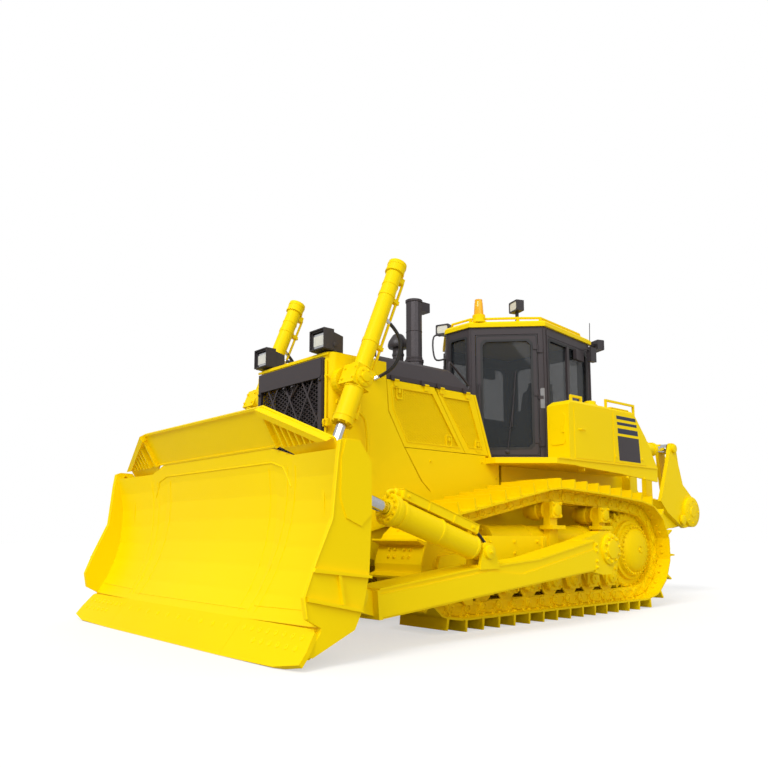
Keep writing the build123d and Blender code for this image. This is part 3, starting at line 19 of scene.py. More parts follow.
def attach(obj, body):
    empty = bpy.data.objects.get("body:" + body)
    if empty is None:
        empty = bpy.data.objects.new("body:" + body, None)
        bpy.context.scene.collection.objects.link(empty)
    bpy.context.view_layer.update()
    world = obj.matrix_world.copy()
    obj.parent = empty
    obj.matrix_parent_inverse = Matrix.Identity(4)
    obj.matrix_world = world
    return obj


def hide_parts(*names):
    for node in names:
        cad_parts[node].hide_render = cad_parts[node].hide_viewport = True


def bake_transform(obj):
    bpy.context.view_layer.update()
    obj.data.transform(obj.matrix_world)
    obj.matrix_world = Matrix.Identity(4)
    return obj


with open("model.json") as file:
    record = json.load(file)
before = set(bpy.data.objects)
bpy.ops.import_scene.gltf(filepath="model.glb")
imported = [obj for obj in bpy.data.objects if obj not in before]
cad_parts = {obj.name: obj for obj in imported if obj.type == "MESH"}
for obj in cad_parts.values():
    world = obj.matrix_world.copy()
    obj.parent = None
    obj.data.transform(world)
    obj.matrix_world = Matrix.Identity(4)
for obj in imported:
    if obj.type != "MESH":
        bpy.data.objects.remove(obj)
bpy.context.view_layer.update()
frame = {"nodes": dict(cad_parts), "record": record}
nodes = frame["nodes"]

# %% [markdown]
# ## A way to write shader maths
#
# A material is a graph of nodes. Linking them one by one hides the idea behind the finish,
# so a small class wraps a socket and lets Python's own operators add the Math nodes.

# %% Wire and Finish


class Wire:
    """An output socket that can be used in an expression."""

    def __init__(self, finish, socket):
        self.finish, self.socket = finish, socket

    def maths(self, operation, *values):
        return self.finish.node("ShaderNodeMath", {"operation": operation}, dict(enumerate(values)))

    def __add__(self, other):
        return self.maths("ADD", self, other)

    def __sub__(self, other):
        return self.maths("SUBTRACT", self, other)

    def __rsub__(self, other):
        return self.maths("SUBTRACT", other, self)

    def __mul__(self, other):
        return self.maths("MULTIPLY", self, other)

    def __gt__(self, other):
        return self.maths("GREATER_THAN", self, other)

    def __lt__(self, other):
        return self.maths("LESS_THAN", self, other)

    __radd__ = __add__
    __rmul__ = __mul__


class Finish:
    """A material under construction, with one Principled shader."""

    def __init__(self, name):
        self.material = bpy.data.materials.new(name)
        self.material.use_nodes = True
        self.tree = self.material.node_tree
        self.shader = self.tree.nodes["Principled BSDF"]
        self.place = self.node("ShaderNodeTexCoord", {}, {}, "Object")

    def node(self, kind, settings, sockets, output=0):
        """Add a node: its settings first, then values or wires into its sockets."""
        made = self.tree.nodes.new(kind)
        for name, value in settings.items():
            if name == "stops":
                ramp = made.color_ramp
                while len(ramp.elements) < len(value):
                    ramp.elements.new(0.5)
                for element, (place, colour) in zip(ramp.elements, value):
                    element.position, element.color = place, (*colour, 1)
            else:
                setattr(made, name, value)
        for name, value in sockets.items():
            self.put(made.inputs[name], value)
        return Wire(self, made.outputs[output])

    def put(self, socket, value):
        if isinstance(value, Wire):
            self.tree.links.new(value.socket, socket)
        elif isinstance(value, tuple) and len(value) == 3 and socket.type == "RGBA":
            socket.default_value = (*value, 1)
        else:
            socket.default_value = value

    def noise(self, scale, detail=2.0, place=None):
        sockets = {"Vector": place or self.place, "Scale": scale, "Detail": detail}
        return self.node("ShaderNodeTexNoise", {}, sockets, "Fac")

    def mix(self, share, first, second):
        """Blend two colours."""
        made = self.node("ShaderNodeMix", {"data_type": "RGBA"}, {0: share, 6: first, 7: second}, 2)
        return made

    def bump(self, height, strength, distance):
        return self.node("ShaderNodeBump", {}, {"Height": height, "Strength": strength, "Distance": distance})

    def set(self, **values):
        """Values or wires for the shader's own sockets, with _ for a space."""
        for name, value in values.items():
            self.put(self.shader.inputs[name.replace("_", " ")], value)
        return self.material


# %% [markdown]
# ## Paint
#
# Machine paint is a thick glossy enamel. It shows a faint orange-peel ripple in its
# reflections, and its colour drifts a little from one plate to the next.

# %% Paints and metals
LEMON = (0.96, 0.70, 0.0)
LEMON_DEEP = (0.93, 0.655, 0.0)
CHARCOAL = (0.048, 0.038, 0.042)


def enamel(name, light, deep, roughness, gloss):
    finish = Finish(name)
    drift = finish.noise(0.6, 1.0)
    peel = finish.noise(240.0, 1.0)
    colour = finish.node("ShaderNodeValToRGB", {"stops": [(0.30, deep), (0.70, light)]}, {"Fac": drift})
    return finish.set(
        Base_Color=colour,
        Roughness=roughness + 0.08 * finish.noise(9.0),
        Specular_IOR_Level=gloss,
        Normal=finish.bump(peel, 0.05, 0.0004),
    )


yellow_paint = enamel("yellow_paint", LEMON, LEMON_DEEP, 0.40, 0.08)
track_paint = enamel("track_paint", (0.93, 0.66, 0.0), (0.88, 0.61, 0.0), 0.48, 0.06)
charcoal_paint = enamel("charcoal_paint", CHARCOAL, (0.040, 0.031, 0.034), 0.36, 0.40)


def metal(name, colour, roughness, grain):
    finish = Finish(name)
    streak = finish.noise(grain, 2.0)
    return finish.set(
        Base_Color=finish.mix(streak, colour, tuple(0.8 * c for c in colour)),
        Metallic=1.0,
        Roughness=roughness + 0.1 * streak,
        Normal=finish.bump(streak, 0.04, 0.0003),
    )


chrome = metal("chrome_rod", (0.80, 0.81, 0.83), 0.06, 60.0)
dark_steel = metal("dark_steel", (0.10, 0.09, 0.095), 0.42, 35.0)


def plastic(name, colour, roughness, grain=500.0):
    finish = Finish(name)
    pores = finish.noise(grain, 1.0)
    return finish.set(
        Base_Color=finish.mix(finish.noise(14.0), colour, tuple(1.25 * c for c in colour)),
        Roughness=roughness + 0.08 * pores,
        Normal=finish.bump(pores, 0.10, 0.0003),
    )


console_plastic = plastic("console_plastic", (0.035, 0.035, 0.038), 0.5)
housing_plastic = plastic("lamp_housing", (0.030, 0.025, 0.028), 0.42)
navy = plastic("navy_stripe", (0.012, 0.016, 0.045), 0.35)
plate_grey = plastic("plate_grey", (0.20, 0.20, 0.21), 0.4)
rubber = plastic("hose_rubber", (0.016, 0.016, 0.017), 0.55)
seat_fabric = plastic("seat_fabric", (0.045, 0.045, 0.052), 0.8, 900.0)
engine_iron = plastic("engine_iron", (0.45, 0.34, 0.02), 0.6, 60.0)
fin_metal = metal("radiator_fins", (0.03, 0.03, 0.03), 0.5, 300.0)

glass_finish = Finish("cab_glass")
cab_glass = glass_finish.set(
    Base_Color=(0.03, 0.035, 0.04), Roughness=0.02, Alpha=0.50 + 0.04 * glass_finish.noise(3.0), IOR=1.5
)
lamp_finish = Finish("lamp_glass")
lamp_glass = lamp_finish.set(
    Base_Color=lamp_finish.mix(lamp_finish.noise(30.0), (0.78, 0.77, 0.70), (0.62, 0.62, 0.56)), Roughness=0.12
)
amber_finish = Finish("amber_lens")
amber = amber_finish.set(
    Base_Color=amber_finish.mix(amber_finish.noise(20.0), (1.0, 0.52, 0.0), (0.95, 0.42, 0.0)), Roughness=0.15
)
print("finishes:", len(bpy.data.materials))

# %% Give each solid piece its finish
FINISH_OF_SLOT = {
    "yellow_paint": yellow_paint,
    "track_steel": track_paint,
    "charcoal_paint": charcoal_paint,
    "chrome_rod": chrome,
    "dark_steel": dark_steel,
    "cab_glass": cab_glass,
    "seat_fabric": seat_fabric,
    "console_plastic": console_plastic,
    "amber_lens": amber,
    "lamp_housing": housing_plastic,
    "engine_iron": engine_iron,
    "radiator_fins": fin_metal,
}
slot_of = {row["node"]: row["material_slot"] for row in frame["record"]["subparts"]}
for name, piece in nodes.items():
    piece.data.materials.clear()
    piece.data.materials.append(FINISH_OF_SLOT[slot_of[name]])
print("dressed", len(nodes), "solid pieces")

# %% [markdown]
# ## Small solids
#
# Everything below is built from closed solids: plates with an outline, turned pieces, bent
# tubes. `Shape` gathers them in one mesh. `touch` looks for the CAD surface under a ray, so
# that a bolt sits on the plate it holds, and `repeat` lets Geometry Nodes copy one small
# pattern to many spots.

# %% Shape
FINISH_SLOT = {finish.name: name for name, finish in FINISH_OF_SLOT.items()}


def spot_at(centre, normal, up=(0, 0, 1)):
    """Frame at a point: local z along the normal, local y towards up."""
    z = Vector(normal).normalized()
    x = Vector(up).cross(z)
    if x.length < 0.01:
        x = Vector((0, 1, 0)).cross(z)
    x.normalize()
    y = z.cross(x)
    turn = Matrix((x, y, z)).transposed().to_4x4()
    return Matrix.Translation(centre) @ turn


def disc(radius, sides=24, start=0.0):
    angles = [start + 2 * math.pi * index / sides for index in range(sides)]
    return [(radius * math.cos(angle), radius * math.sin(angle)) for angle in angles]


def oblong(width, height, cut=0.0):
    """Rectangle about its middle, with cut corners."""
    x, y, c = width / 2, height / 2, cut
    if not c:
        return [(-x, -y), (x, -y), (x, y), (-x, y)]
    return [(-x + c, -y), (x - c, -y), (x, -y + c), (x, y - c), (x - c, y), (-x + c, y), (-x, y - c), (-x, -y + c)]


class Shape:
    """Closed solids gathered into one mesh, in the machine's frame."""

    def __init__(self):
        self.mesh = bmesh.new()

    def rings(self, rings, inner=None):
        """Skin over rings of equal count, closed at the ends, or open to inner rings."""
        rows = [[self.mesh.verts.new(corner) for corner in ring] for ring in rings]
        if inner:
            rows += [[self.mesh.verts.new(corner) for corner in ring] for ring in reversed(inner)]
            rows.append(rows[0])
        else:
            self.mesh.faces.new(rows[0])
            self.mesh.faces.new(rows[-1])
        count = len(rows[0])
        for first, second in zip(rows, rows[1:]):
            for here in range(count):
                after = (here + 1) % count
                self.mesh.faces.new((first[here], first[after], second[after], second[here]))
        return self

    def slab(self, spot, outline, low, high, hole=None):
        """Plate on a local frame, from low to high along its normal."""
        layers = [[[spot @ Vector((*point, level)) for point in loop] for level in (low, high)] for loop in (outline, hole or [])]
        return self.rings(layers[0], layers[1] if hole else None)

    def side(self, outline, low, high):
        """Plate with a (y, z) outline, from low to high along x."""
        return self.rings([[(x, y, z) for y, z in outline] for x in (low, high)])

    def box(self, x, y, z):
        return self.side([(y[0], z[0]), (y[1], z[0]), (y[1], z[1]), (y[0], z[1])], *x)

    def turned(self, spot, steps, sides=32, bore=None):
        """Turned piece along a frame's normal: steps are (distance, radius)."""
        rings = [[spot @ Vector((*point, level)) for point in disc(radius, sides)] for level, radius in steps]
        inner = [[spot @ Vector((*point, level)) for point in disc(bore, sides)] for level, _ in steps] if bore else None
        return self.rings(rings, inner)

    def tube(self, path, radius, sides=8):
        """Round bar that follows a path."""
        points = [Vector(point) for point in path]
        rings, across = [], None
        for index, point in enumerate(points):
            before = points[max(index - 1, 0)]
            after = points[min(index + 1, len(points) - 1)]
            ahead = (after - before).normalized()
            if across is None:
                across = ahead.orthogonal().normalized()
            across = (across - ahead * across.dot(ahead)).normalized()
            rise = ahead.cross(across)
            rings.append([point + across * a + rise * b for a, b in disc(radius, sides)])
        return self.rings(rings)

    def mirror(self):
        """Add the same solids on the other side of the machine."""
        copy = bmesh.ops.duplicate(self.mesh, geom=self.mesh.verts[:] + self.mesh.edges[:] + self.mesh.faces[:])
        for item in copy["geom"]:
            if isinstance(item, bmesh.types.BMVert):
                item.co.x = -item.co.x
        return self

    def data(self, name, crease=38):
        bmesh.ops.recalc_face_normals(self.mesh, faces=self.mesh.faces)
        mesh = bpy.data.meshes.new(name)
        self.mesh.to_mesh(mesh)
        self.mesh.free()
        mesh.shade_smooth()
        mesh.set_sharp_from_angle(angle=math.radians(crease))
        return mesh

    def piece(self, name, finish, body):
        mesh = self.data(name)
        mesh.materials.append(finish)
        return place(bpy.data.objects.new(name, mesh), finish, body)


def place(piece, finish, body):
    if piece.name not in bpy.context.scene.collection.objects:
        bpy.context.scene.collection.objects.link(piece)
    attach(piece, body)
    finish.name in FINISH_SLOT
    return piece


def bend(points, steps=8):
    """Smooth curve through a few points."""
    points = [Vector(point) for point in points]
    padded = [2 * points[0] - points[1], *points, 2 * points[-1] - points[-2]]
    path = []
    for a, b, c, d in zip(padded, padded[1:], padded[2:], padded[3:]):
        for step in range(steps):
            t = step / steps
            path.append(0.5 * (2 * b + (c - a) * t + (2 * a - 5 * b + 4 * c - d) * t**2 + (3 * b - a - 3 * c + d) * t**3))
    return path + [points[-1]]


# %% Touch
TREES = {}


def touch(names, start, ahead):
    """First point on the named CAD pieces along a ray, and the surface's normal."""
    best = None
    for name in [names] if isinstance(names, str) else names:
        if name not in TREES:
            data = nodes[name].data
            TREES[name] = BVHTree.FromPolygons([v.co for v in data.vertices], [p.vertices for p in data.polygons])
        point, normal, _, distance = TREES[name].ray_cast(Vector(start), Vector(ahead).normalized())
        if point and (best is None or distance < best[0]):
            best = (distance, point, normal)
    if best is None:
        raise ValueError(f"nothing of {names} on the ray from {start}")
    return best[1], best[2]


def seats(names, starts, ahead):
    """Frames on the surface of CAD pieces, looking out of it."""
    return [spot_at(*touch(names, start, ahead)) for start in starts]


def circle_of(centre, normal, radius, count, start=0.0, up=(0, 0, 1)):
    spot = spot_at(centre, normal, up)
    return [spot @ Matrix.Translation((*point, 0)) for point in disc(radius, count, start)]


def mirrored(spots):
    flip = Matrix.Diagonal((-1, 1, 1, 1))
    return spots + [flip @ spot @ flip for spot in spots]


# %% [markdown]
# The tree below is the whole of the repeat: points carry an attribute `turn`, a pattern
# object is set on each of them, and the copies become real geometry with one finish.

# %% Repeat
REPEAT = bpy.data.node_groups.new("repeat", "GeometryNodeTree")
REPEAT.interface.new_socket("Points", in_out="INPUT", socket_type="NodeSocketGeometry")
PATTERN = REPEAT.interface.new_socket("Pattern", in_out="INPUT", socket_type="NodeSocketObject").identifier
FINISH = REPEAT.interface.new_socket("Finish", in_out="INPUT", socket_type="NodeSocketMaterial").identifier
REPEAT.interface.new_socket("Copies", in_out="OUTPUT", socket_type="NodeSocketGeometry")
entry = REPEAT.nodes.new("NodeGroupInput")
info = REPEAT.nodes.new("GeometryNodeObjectInfo")
turn = REPEAT.nodes.new("GeometryNodeInputNamedAttribute")
turn.data_type = "FLOAT_VECTOR"
turn.inputs["Name"].default_value = "turn"
copies = REPEAT.nodes.new("GeometryNodeInstanceOnPoints")
realize = REPEAT.nodes.new("GeometryNodeRealizeInstances")
dress = REPEAT.nodes.new("GeometryNodeSetMaterial")
leave = REPEAT.nodes.new("NodeGroupOutput")
for start, end in (
    (entry.outputs["Points"], copies.inputs["Points"]),
    (entry.outputs["Pattern"], info.inputs["Object"]),
    (info.outputs["Geometry"], copies.inputs["Instance"]),
    (turn.outputs["Attribute"], copies.inputs["Rotation"]),
    (copies.outputs["Instances"], realize.inputs["Geometry"]),
    (realize.outputs["Geometry"], dress.inputs["Geometry"]),
    (entry.outputs["Finish"], dress.inputs["Material"]),
    (dress.outputs["Geometry"], leave.inputs["Copies"]),
):
    REPEAT.links.new(start, end)


def repeat(name, pattern, spots, finish, body):
    """Copies of a pattern at many spots, as one piece."""
    points = bpy.data.meshes.new(name)
    points.from_pydata([spot.translation for spot in spots], [], [])
    turns = points.attributes.new("turn", "FLOAT_VECTOR", "POINT")
    for slot, spot in zip(turns.data, spots):
        slot.vector = spot.to_euler()
    piece = bpy.data.objects.new(name, points)
    bpy.context.scene.collection.objects.link(piece)
    sample = bpy.data.objects.new(name + "_pattern", pattern.data(name + "_pattern"))
    bpy.context.scene.collection.objects.link(sample)
    modifier = piece.modifiers.new("repeat", "NODES")
    modifier[PATTERN] = sample
    modifier[FINISH] = finish
    modifier.node_group = REPEAT
    modifier[PATTERN] = sample
    modifier[FINISH] = finish
    graph = bpy.context.evaluated_depsgraph_get()
    mesh = bpy.data.meshes.new_from_object(piece.evaluated_get(graph))
    piece.modifiers.remove(modifier)
    piece.data = mesh
    bpy.data.objects.remove(sample)
    return place(piece, finish, body)


def bolts(name, spots, finish, body, size=0.016):
    """Hexagon heads on washers; size is half the head's width."""
    head = Shape().turned(Matrix(), [(-0.3 * size, 1.45 * size), (0.3 * size, 1.45 * size)], 12)
    head.turned(Matrix(), [(0.3 * size, size), (1.1 * size, size), (1.3 * size, 0.8 * size)], 6)
    return repeat(name, head, spots, finish, body)


print("helpers ready, repeat tree nodes:", len(REPEAT.nodes))

# %% [markdown]
# ## Undercarriage
#
# The chain is the feature that takes most skill here: its pin line wraps the sprocket and
# the idler and sags over two carrier rollers. The CAD holds the shoes and plain rails; the
# same path gives every pin, so links, bosses, bushings and shoe bolts follow it.

# %% Chain path
SPROCKET = (1.367, 0.683)
SPROCKET_R = 0.496
IDLER = (-1.908, 0.575)
IDLER_R = 0.388
CARRIER_PINS = ((-0.342, 1.287), (0.568, 1.245))
PIN_LINE = 0.187
SHOES = 41
TRACK_X = 1.07
RAIL_X = 0.095
RAIL_HALF = 0.030


def tangent_angle(centre, radius, point, side):
    dy, dz = point[0] - centre[0], point[1] - centre[1]
    return math.atan2(dz, dy) + side * (math.pi / 2 - math.asin(radius / math.hypot(dy, dz)))


def arc(centre, radius, start, end, steps=400):
    angles = [start + (end - start) * index / steps for index in range(steps + 1)]
    return [(centre[0] + radius * math.cos(angle), centre[1] + radius * math.sin(angle)) for angle in angles]


leave_angle = tangent_angle(SPROCKET, SPROCKET_R, CARRIER_PINS[1], -1)
meet_angle = tangent_angle(IDLER, IDLER_R, CARRIER_PINS[0], 1)
loop = [(IDLER[0], PIN_LINE)]
loop += arc(SPROCKET, SPROCKET_R, -math.pi / 2, leave_angle)
loop += [CARRIER_PINS[1], CARRIER_PINS[0]]
loop += arc(IDLER, IDLER_R, meet_angle, 3 * math.pi / 2)
spans = [math.dist(a, b) for a, b in zip(loop, loop[1:])]
PITCH = sum(spans) / SHOES


def on_loop(distance):
    for start, end, span in zip(loop, loop[1:], spans):
        if distance <= span:
            return tuple(a + (b - a) * distance / span for a, b in zip(start, end))
        distance -= span
    return loop[-1]


pins = [on_loop(PITCH * (index + 0.3)) for index in range(SHOES)]
links = []
for pin, ahead in zip(pins, pins[1:] + pins[:1]):
    t = Vector((0, ahead[0] - pin[0], ahead[1] - pin[1]))
    middle = Vector((0, (pin[0] + ahead[0]) / 2, (pin[1] + ahead[1]) / 2))
    links.append((middle, t.normalized(), Vector((0, t.z, -t.y)).normalized(), t.length / 2))
print("chain pitch in mm:", round(1000 * PITCH))


# %% Links, bushings and shoe bolts
def link_frame(x, link, out):
    """Frame on a link's middle: local x along the chain, local y out of the loop."""
    middle, t, n, _ = link
    z = t.cross(n)
    turn = Matrix((t, n, z)).transposed().to_4x4()
    flip = Matrix.Rotation(math.pi, 4, "Y") if out * z.x < 0 else Matrix()
    return Matrix.Translation((x, middle.y, middle.z)) @ turn @ flip


half = links[0][3]
link = Shape()
outer = [(-half, -0.040), (-0.02, -0.048), (0.02, -0.048), (half, -0.040), (half, 0.042), (0.05, 0.062), (-0.05, 0.062), (-half, 0.042)]
inner = [(-0.052, -0.018), (-0.018, -0.026), (0.018, -0.026), (0.052, -0.018), (0.052, 0.020), (0.03, 0.036), (-0.03, 0.036), (-0.052, 0.020)]
link.slab(Matrix(), outer, 0.0, 0.010, inner)
link.turned(Matrix.Translation((-half, 0, 0)), [(0.0, 0.048), (0.017, 0.048), (0.022, 0.040), (0.022, 0.026), (0.014, 0.024)], 20)
link.turned(Matrix.Translation((-half, 0, 0)), [(0.010, 0.022), (0.019, 0.022), (0.021, 0.019)], 14)
faces = [(TRACK_X + RAIL_X + RAIL_HALF, 1), (TRACK_X + RAIL_X - RAIL_HALF, -1)]
faces += [(TRACK_X - RAIL_X + RAIL_HALF, 1), (TRACK_X - RAIL_X - RAIL_HALF, -1)]
link_spots = [link_frame(x, where, out) for x, out in faces for where in links]
repeat("chain_links", link, mirrored(link_spots), track_paint, "root")

bushing = Shape().turned(Matrix(), [(-0.066, 0.034), (0.066, 0.034)], 16)
bushing_spots = [spot_at((TRACK_X, y, z), (1, 0, 0)) for y, z in pins]
repeat("chain_bushings", bushing, mirrored(bushing_spots), dark_steel, "root")

SHOE_FACE = 0.088
bolt_spots = []
for middle, t, n, reach in links:
    for across in (-0.135, -0.060, 0.060, 0.135):
        for ahead in (-0.022, 0.045):
            point = middle + t * ahead + n * SHOE_FACE
            bolt_spots.append(spot_at((TRACK_X + across, point.y, point.z), n, (1, 0, 0)))
bolts("shoe_bolts", mirrored(bolt_spots), track_paint, "root", 0.014)

# two nut faces under each shoe, beside the links, as seen from the machine's flank
nut_spots = []
for middle, t, n, reach in links:
    for ahead in (-0.045, 0.045):
        point = middle + t * ahead + n * 0.067
        for across in (-0.20, 0.20):
            nut_spots.append(spot_at((TRACK_X + across, point.y, point.z), -n, (1, 0, 0)))
bolts("shoe_nuts", mirrored(nut_spots), track_paint, "root", 0.015)

# %% Rollers, idlers and sprockets
wheels = Shape()
for y in (-1.380 + 0.358 * index for index in range(7)):
    centre = spot_at((TRACK_X, y, 0.3633), (1, 0, 0))
    steps = [(-0.124, 0.119), (-0.124, 0.142), (-0.112, 0.145), (-0.106, 0.119), (-0.044, 0.1185)]
    rims = steps + [(-0.030, 0.095), (0.030, 0.095)] + [(-d, r) for d, r in reversed(steps)]
    wheels.turned(centre, rims, 28)
for y, z in ((-0.342, 1.129), (0.568, 1.087)):
    centre = spot_at((TRACK_X, y, z), (1, 0, 0))
    wheels.turned(centre, [(-0.121, 0.070), (-0.121, 0.0855), (-0.060, 0.0855), (-0.052, 0.104), (-0.040, 0.108),
                           (0.040, 0.108), (0.052, 0.104), (0.060, 0.0855), (0.118, 0.0855), (0.124, 0.098),
                           (0.134, 0.098), (0.140, 0.060), (0.150, 0.045)], 28)
centre = spot_at((TRACK_X, *IDLER), (1, 0, 0))
wheels.turned(centre, [(-0.121, 0.12), (-0.121, 0.3115), (-0.058, 0.3115), (-0.052, 0.345), (0.052, 0.345),
                       (0.058, 0.3115), (0.121, 0.3115), (0.123, 0.285), (0.1205, 0.270), (0.1205, 0.14),
                       (0.132, 0.130), (0.132, 0.10)], 48)
wheels.mirror().piece("wheel_rims", track_paint, "root")

covers = Shape()
cover_bolts = []
FLANK = 1.2405
for y in (-1.380 + 0.358 * index for index in range(7)):
    spot = spot_at((FLANK, y, 0.400), (1, 0, 0))
    covers.slab(spot, oblong(0.235, 0.215, 0.03), 0.0, 0.022)
    covers.turned(spot @ Matrix.Translation((0, -0.015, 0)), [(0.02, 0.066), (0.045, 0.062), (0.050, 0.052)], 24)
    covers.turned(spot @ Matrix.Translation((0, -0.015, 0)), [(0.05, 0.018), (0.060, 0.016)], 12)
    cover_bolts += [spot @ Matrix.Translation((a, b, 0.024)) for a in (-0.088, 0.088) for b in (-0.078, 0.078)]
    covers.side([(y - 0.165, 0.535), (y + 0.165, 0.535), (y + 0.150, 0.470), (y - 0.150, 0.470)], FLANK - 0.002, FLANK + 0.012)
covers.mirror().piece("roller_covers", track_paint, "root")
bolts("roller_cover_bolts", mirrored(cover_bolts), track_paint, "root", 0.013)

# %% Sprocket and final drive
drive = Shape()
centre = spot_at((1.115, *SPROCKET), (1, 0, 0))
drive.turned(centre, [(0.0, 0.448), (0.010, 0.448), (0.014, 0.440), (0.014, 0.352), (0.055, 0.3475), (0.060, 0.338),
                      (0.062, 0.312), (0.100, 0.306), (0.106, 0.300), (0.106, 0.262), (0.112, 0.258), (0.128, 0.248),
                      (0.150, 0.220), (0.166, 0.170), (0.176, 0.110), (0.182, 0.060), (0.182, 0.046), (0.174, 0.042)], 64)
drive.turned(centre, [(0.170, 0.030), (0.190, 0.026)], 6)
drive.mirror().piece("final_drive_covers", track_paint, "root")
drive_bolts = circle_of((1.130, *SPROCKET), (1, 0, 0), 0.425, 27, 0.1)
drive_bolts += circle_of((1.221, *SPROCKET), (1, 0, 0), 0.282, 30)
bolts("final_drive_bolts", mirrored(drive_bolts), track_paint, "root", 0.015)

# %% Track frame: recoil housing, guards, post clamps
frame_parts = Shape()
recoil = spot_at((TRACK_X, -1.27, 0.800), (0, 1, 0))
ring = [(0.0, 0.150), (0.010, 0.168), (0.050, 0.168), (0.055, 0.1635), (0.62, 0.1635), (0.625, 0.172), (0.66, 0.172),
        (0.665, 0.1635), (1.60, 0.1635), (1.605, 0.176), (1.66, 0.176), (1.665, 0.1635), (2.02, 0.1635), (2.04, 0.150)]
frame_parts.turned(recoil, ring, 40)
for low, high in ((-1.50, -1.46), (-0.62, -0.58)):
    frame_parts.side([(low, 0.66), (high, 0.66), (high, 0.845), (low, 0.845)], 1.335, 1.352)
for y, z in ((-0.342, 1.129), (0.568, 1.087)):
    frame_parts.box((1.30, 1.335), (y - 0.085, y + 0.085), (z - 0.085, z + 0.085))
    frame_parts.turned(spot_at((1.335, y, z), (1, 0, 0)), [(0.0, 0.062), (0.012, 0.058), (0.016, 0.045)], 20)
    frame_parts.side([(y - 0.11, 0.965), (y + 0.11, 0.965), (y + 0.11, 0.925), (y - 0.11, 0.925)], 1.19, 1.36)
frame_parts.mirror().piece("track_frame_parts", track_paint, "root")
frame_bolts = [spot_at((1.336, y + a, z + b), (1, 0, 0)) for y, z in ((-0.342, 1.129), (0.568, 1.087))
               for a in (-0.065, 0.065) for b in (-0.065, 0.065)]
frame_bolts += [spot_at((1.342, y, z), (1, 0, 0)) for y in (-1.42, -1.06, -0.70) for z in (0.69, 0.80)]
frame_bolts += circle_of((TRACK_X, -1.262, 0.800), (0, -1, 0), 0.125, 10)
bolts("track_frame_bolts", mirrored(frame_bolts), track_paint, "root", 0.013)
print("undercarriage dressed")

# %% [markdown]
# ## Blade
#
# The moldboard is rolled plate in three flats with welded borders. Seams are laid with
# `touch`, so that they follow its curve. The spill guard on top gets its strap and fins,
# the edges get their plough bolts.

# %% Seams on the moldboard
YELLOW = yellow_paint


def seam(shape, names, corners, ahead, radius, step=0.06):
    """Weld bead or rib that follows the CAD surface between corners."""
    path = []
    for start, end in zip(corners, corners[1:]):
        start, end = Vector(start), Vector(end)
        count = max(2, int((end - start).length / step))
        path += [touch(names, start.lerp(end, index / count), ahead)[0] for index in range(count)]
    path.append(touch(names, corners[-1], ahead)[0])
    return shape.tube(path, radius, 6)


FRONT = -5.0
AHEAD = (0, 1, 0)
seams = Shape()
for side in (-1, 1):
    border = [(0, 1.445), (0.96, 1.445), (1.12, 1.40), (1.22, 1.24)]
    seam(seams, "moldboard", [(side * x, FRONT, z) for x, z in border], AHEAD, 0.007)
    for x_low, x_high in ((0.93, 0.90), (1.07, 1.18), (1.16, 1.30)):
        seam(seams, "moldboard", [(side * x_low, FRONT, 0.30), (side * x_high, FRONT, 1.40)], AHEAD, 0.005)
    seam(seams, "moldboard", [(0, FRONT, 0.315), (side * 1.02, FRONT, 0.315)], AHEAD, 0.006)
    seam(seams, "moldboard", [(side * 1.12, FRONT, 0.345), (side * 1.93, FRONT, 0.36)], AHEAD, 0.006)
seams.piece("moldboard_seams", YELLOW, "blade")

# %% Cutting edge bolts
EDGE_LOW = Vector((0, -4.128, 0.004))
EDGE_UP = Vector((0, 0.203, 0.250)).normalized()
EDGE_OUT = Vector((0, -EDGE_UP.z, EDGE_UP.y))


def edge_spots(across, up):
    return [spot_at(EDGE_LOW + EDGE_UP * up + Vector((x, 0, 0)), EDGE_OUT, (1, 0, 0)) for x in across]


plough = Shape().turned(Matrix(), [(-0.004, 0.022), (0.003, 0.022), (0.004, 0.019), (0.004, 0.012), (0.001, 0.010)], 20)
centre_row = [0.1 + 0.2 * index for index in range(5)]
edge_row = [1.16 + 0.105 * index for index in range(8)]
spots = edge_spots(centre_row, 0.235) + edge_spots(edge_row, 0.250) + edge_spots(edge_row[2:], 0.165)
repeat("plough_bolts", plough, mirrored(spots), YELLOW, "blade")

# %% Spill guard: strap, fins and top flange
LEAN = spot_at((0, -3.654, 1.5623), (0, -0.8684, -0.4958))
RISE = 0.349
guard = Shape()
guard.slab(LEAN, [(1.08, RISE), (1.790, 0.004), (1.672, 0.004), (1.08, RISE - 0.058)], -0.003, 0.060)
for index in range(6):
    x = 1.225 + 0.072 * index
    top = RISE - 0.058 - (x - 1.08) * 0.492 + 0.02
    guard.slab(LEAN, [(x - 0.008, 0.0), (x + 0.008, 0.0), (x + 0.008, top), (x - 0.008, top)], -0.003, 0.050)
guard.slab(LEAN, [(1.098, 0.0), (1.114, 0.0), (1.114, RISE - 0.03), (1.098, RISE - 0.03)], -0.003, 0.040)
guard.mirror()
guard.slab(LEAN, [(-1.10, RISE - 0.02), (1.10, RISE - 0.02), (1.10, RISE - 0.001), (-1.10, RISE - 0.001)], -0.021, 0.014)
guard.slab(LEAN, [(-1.80, 0.0), (1.80, 0.0), (1.80, 0.014), (-1.80, 0.014)], -0.002, 0.012)
guard.piece("spill_guard_fins", YELLOW, "blade")

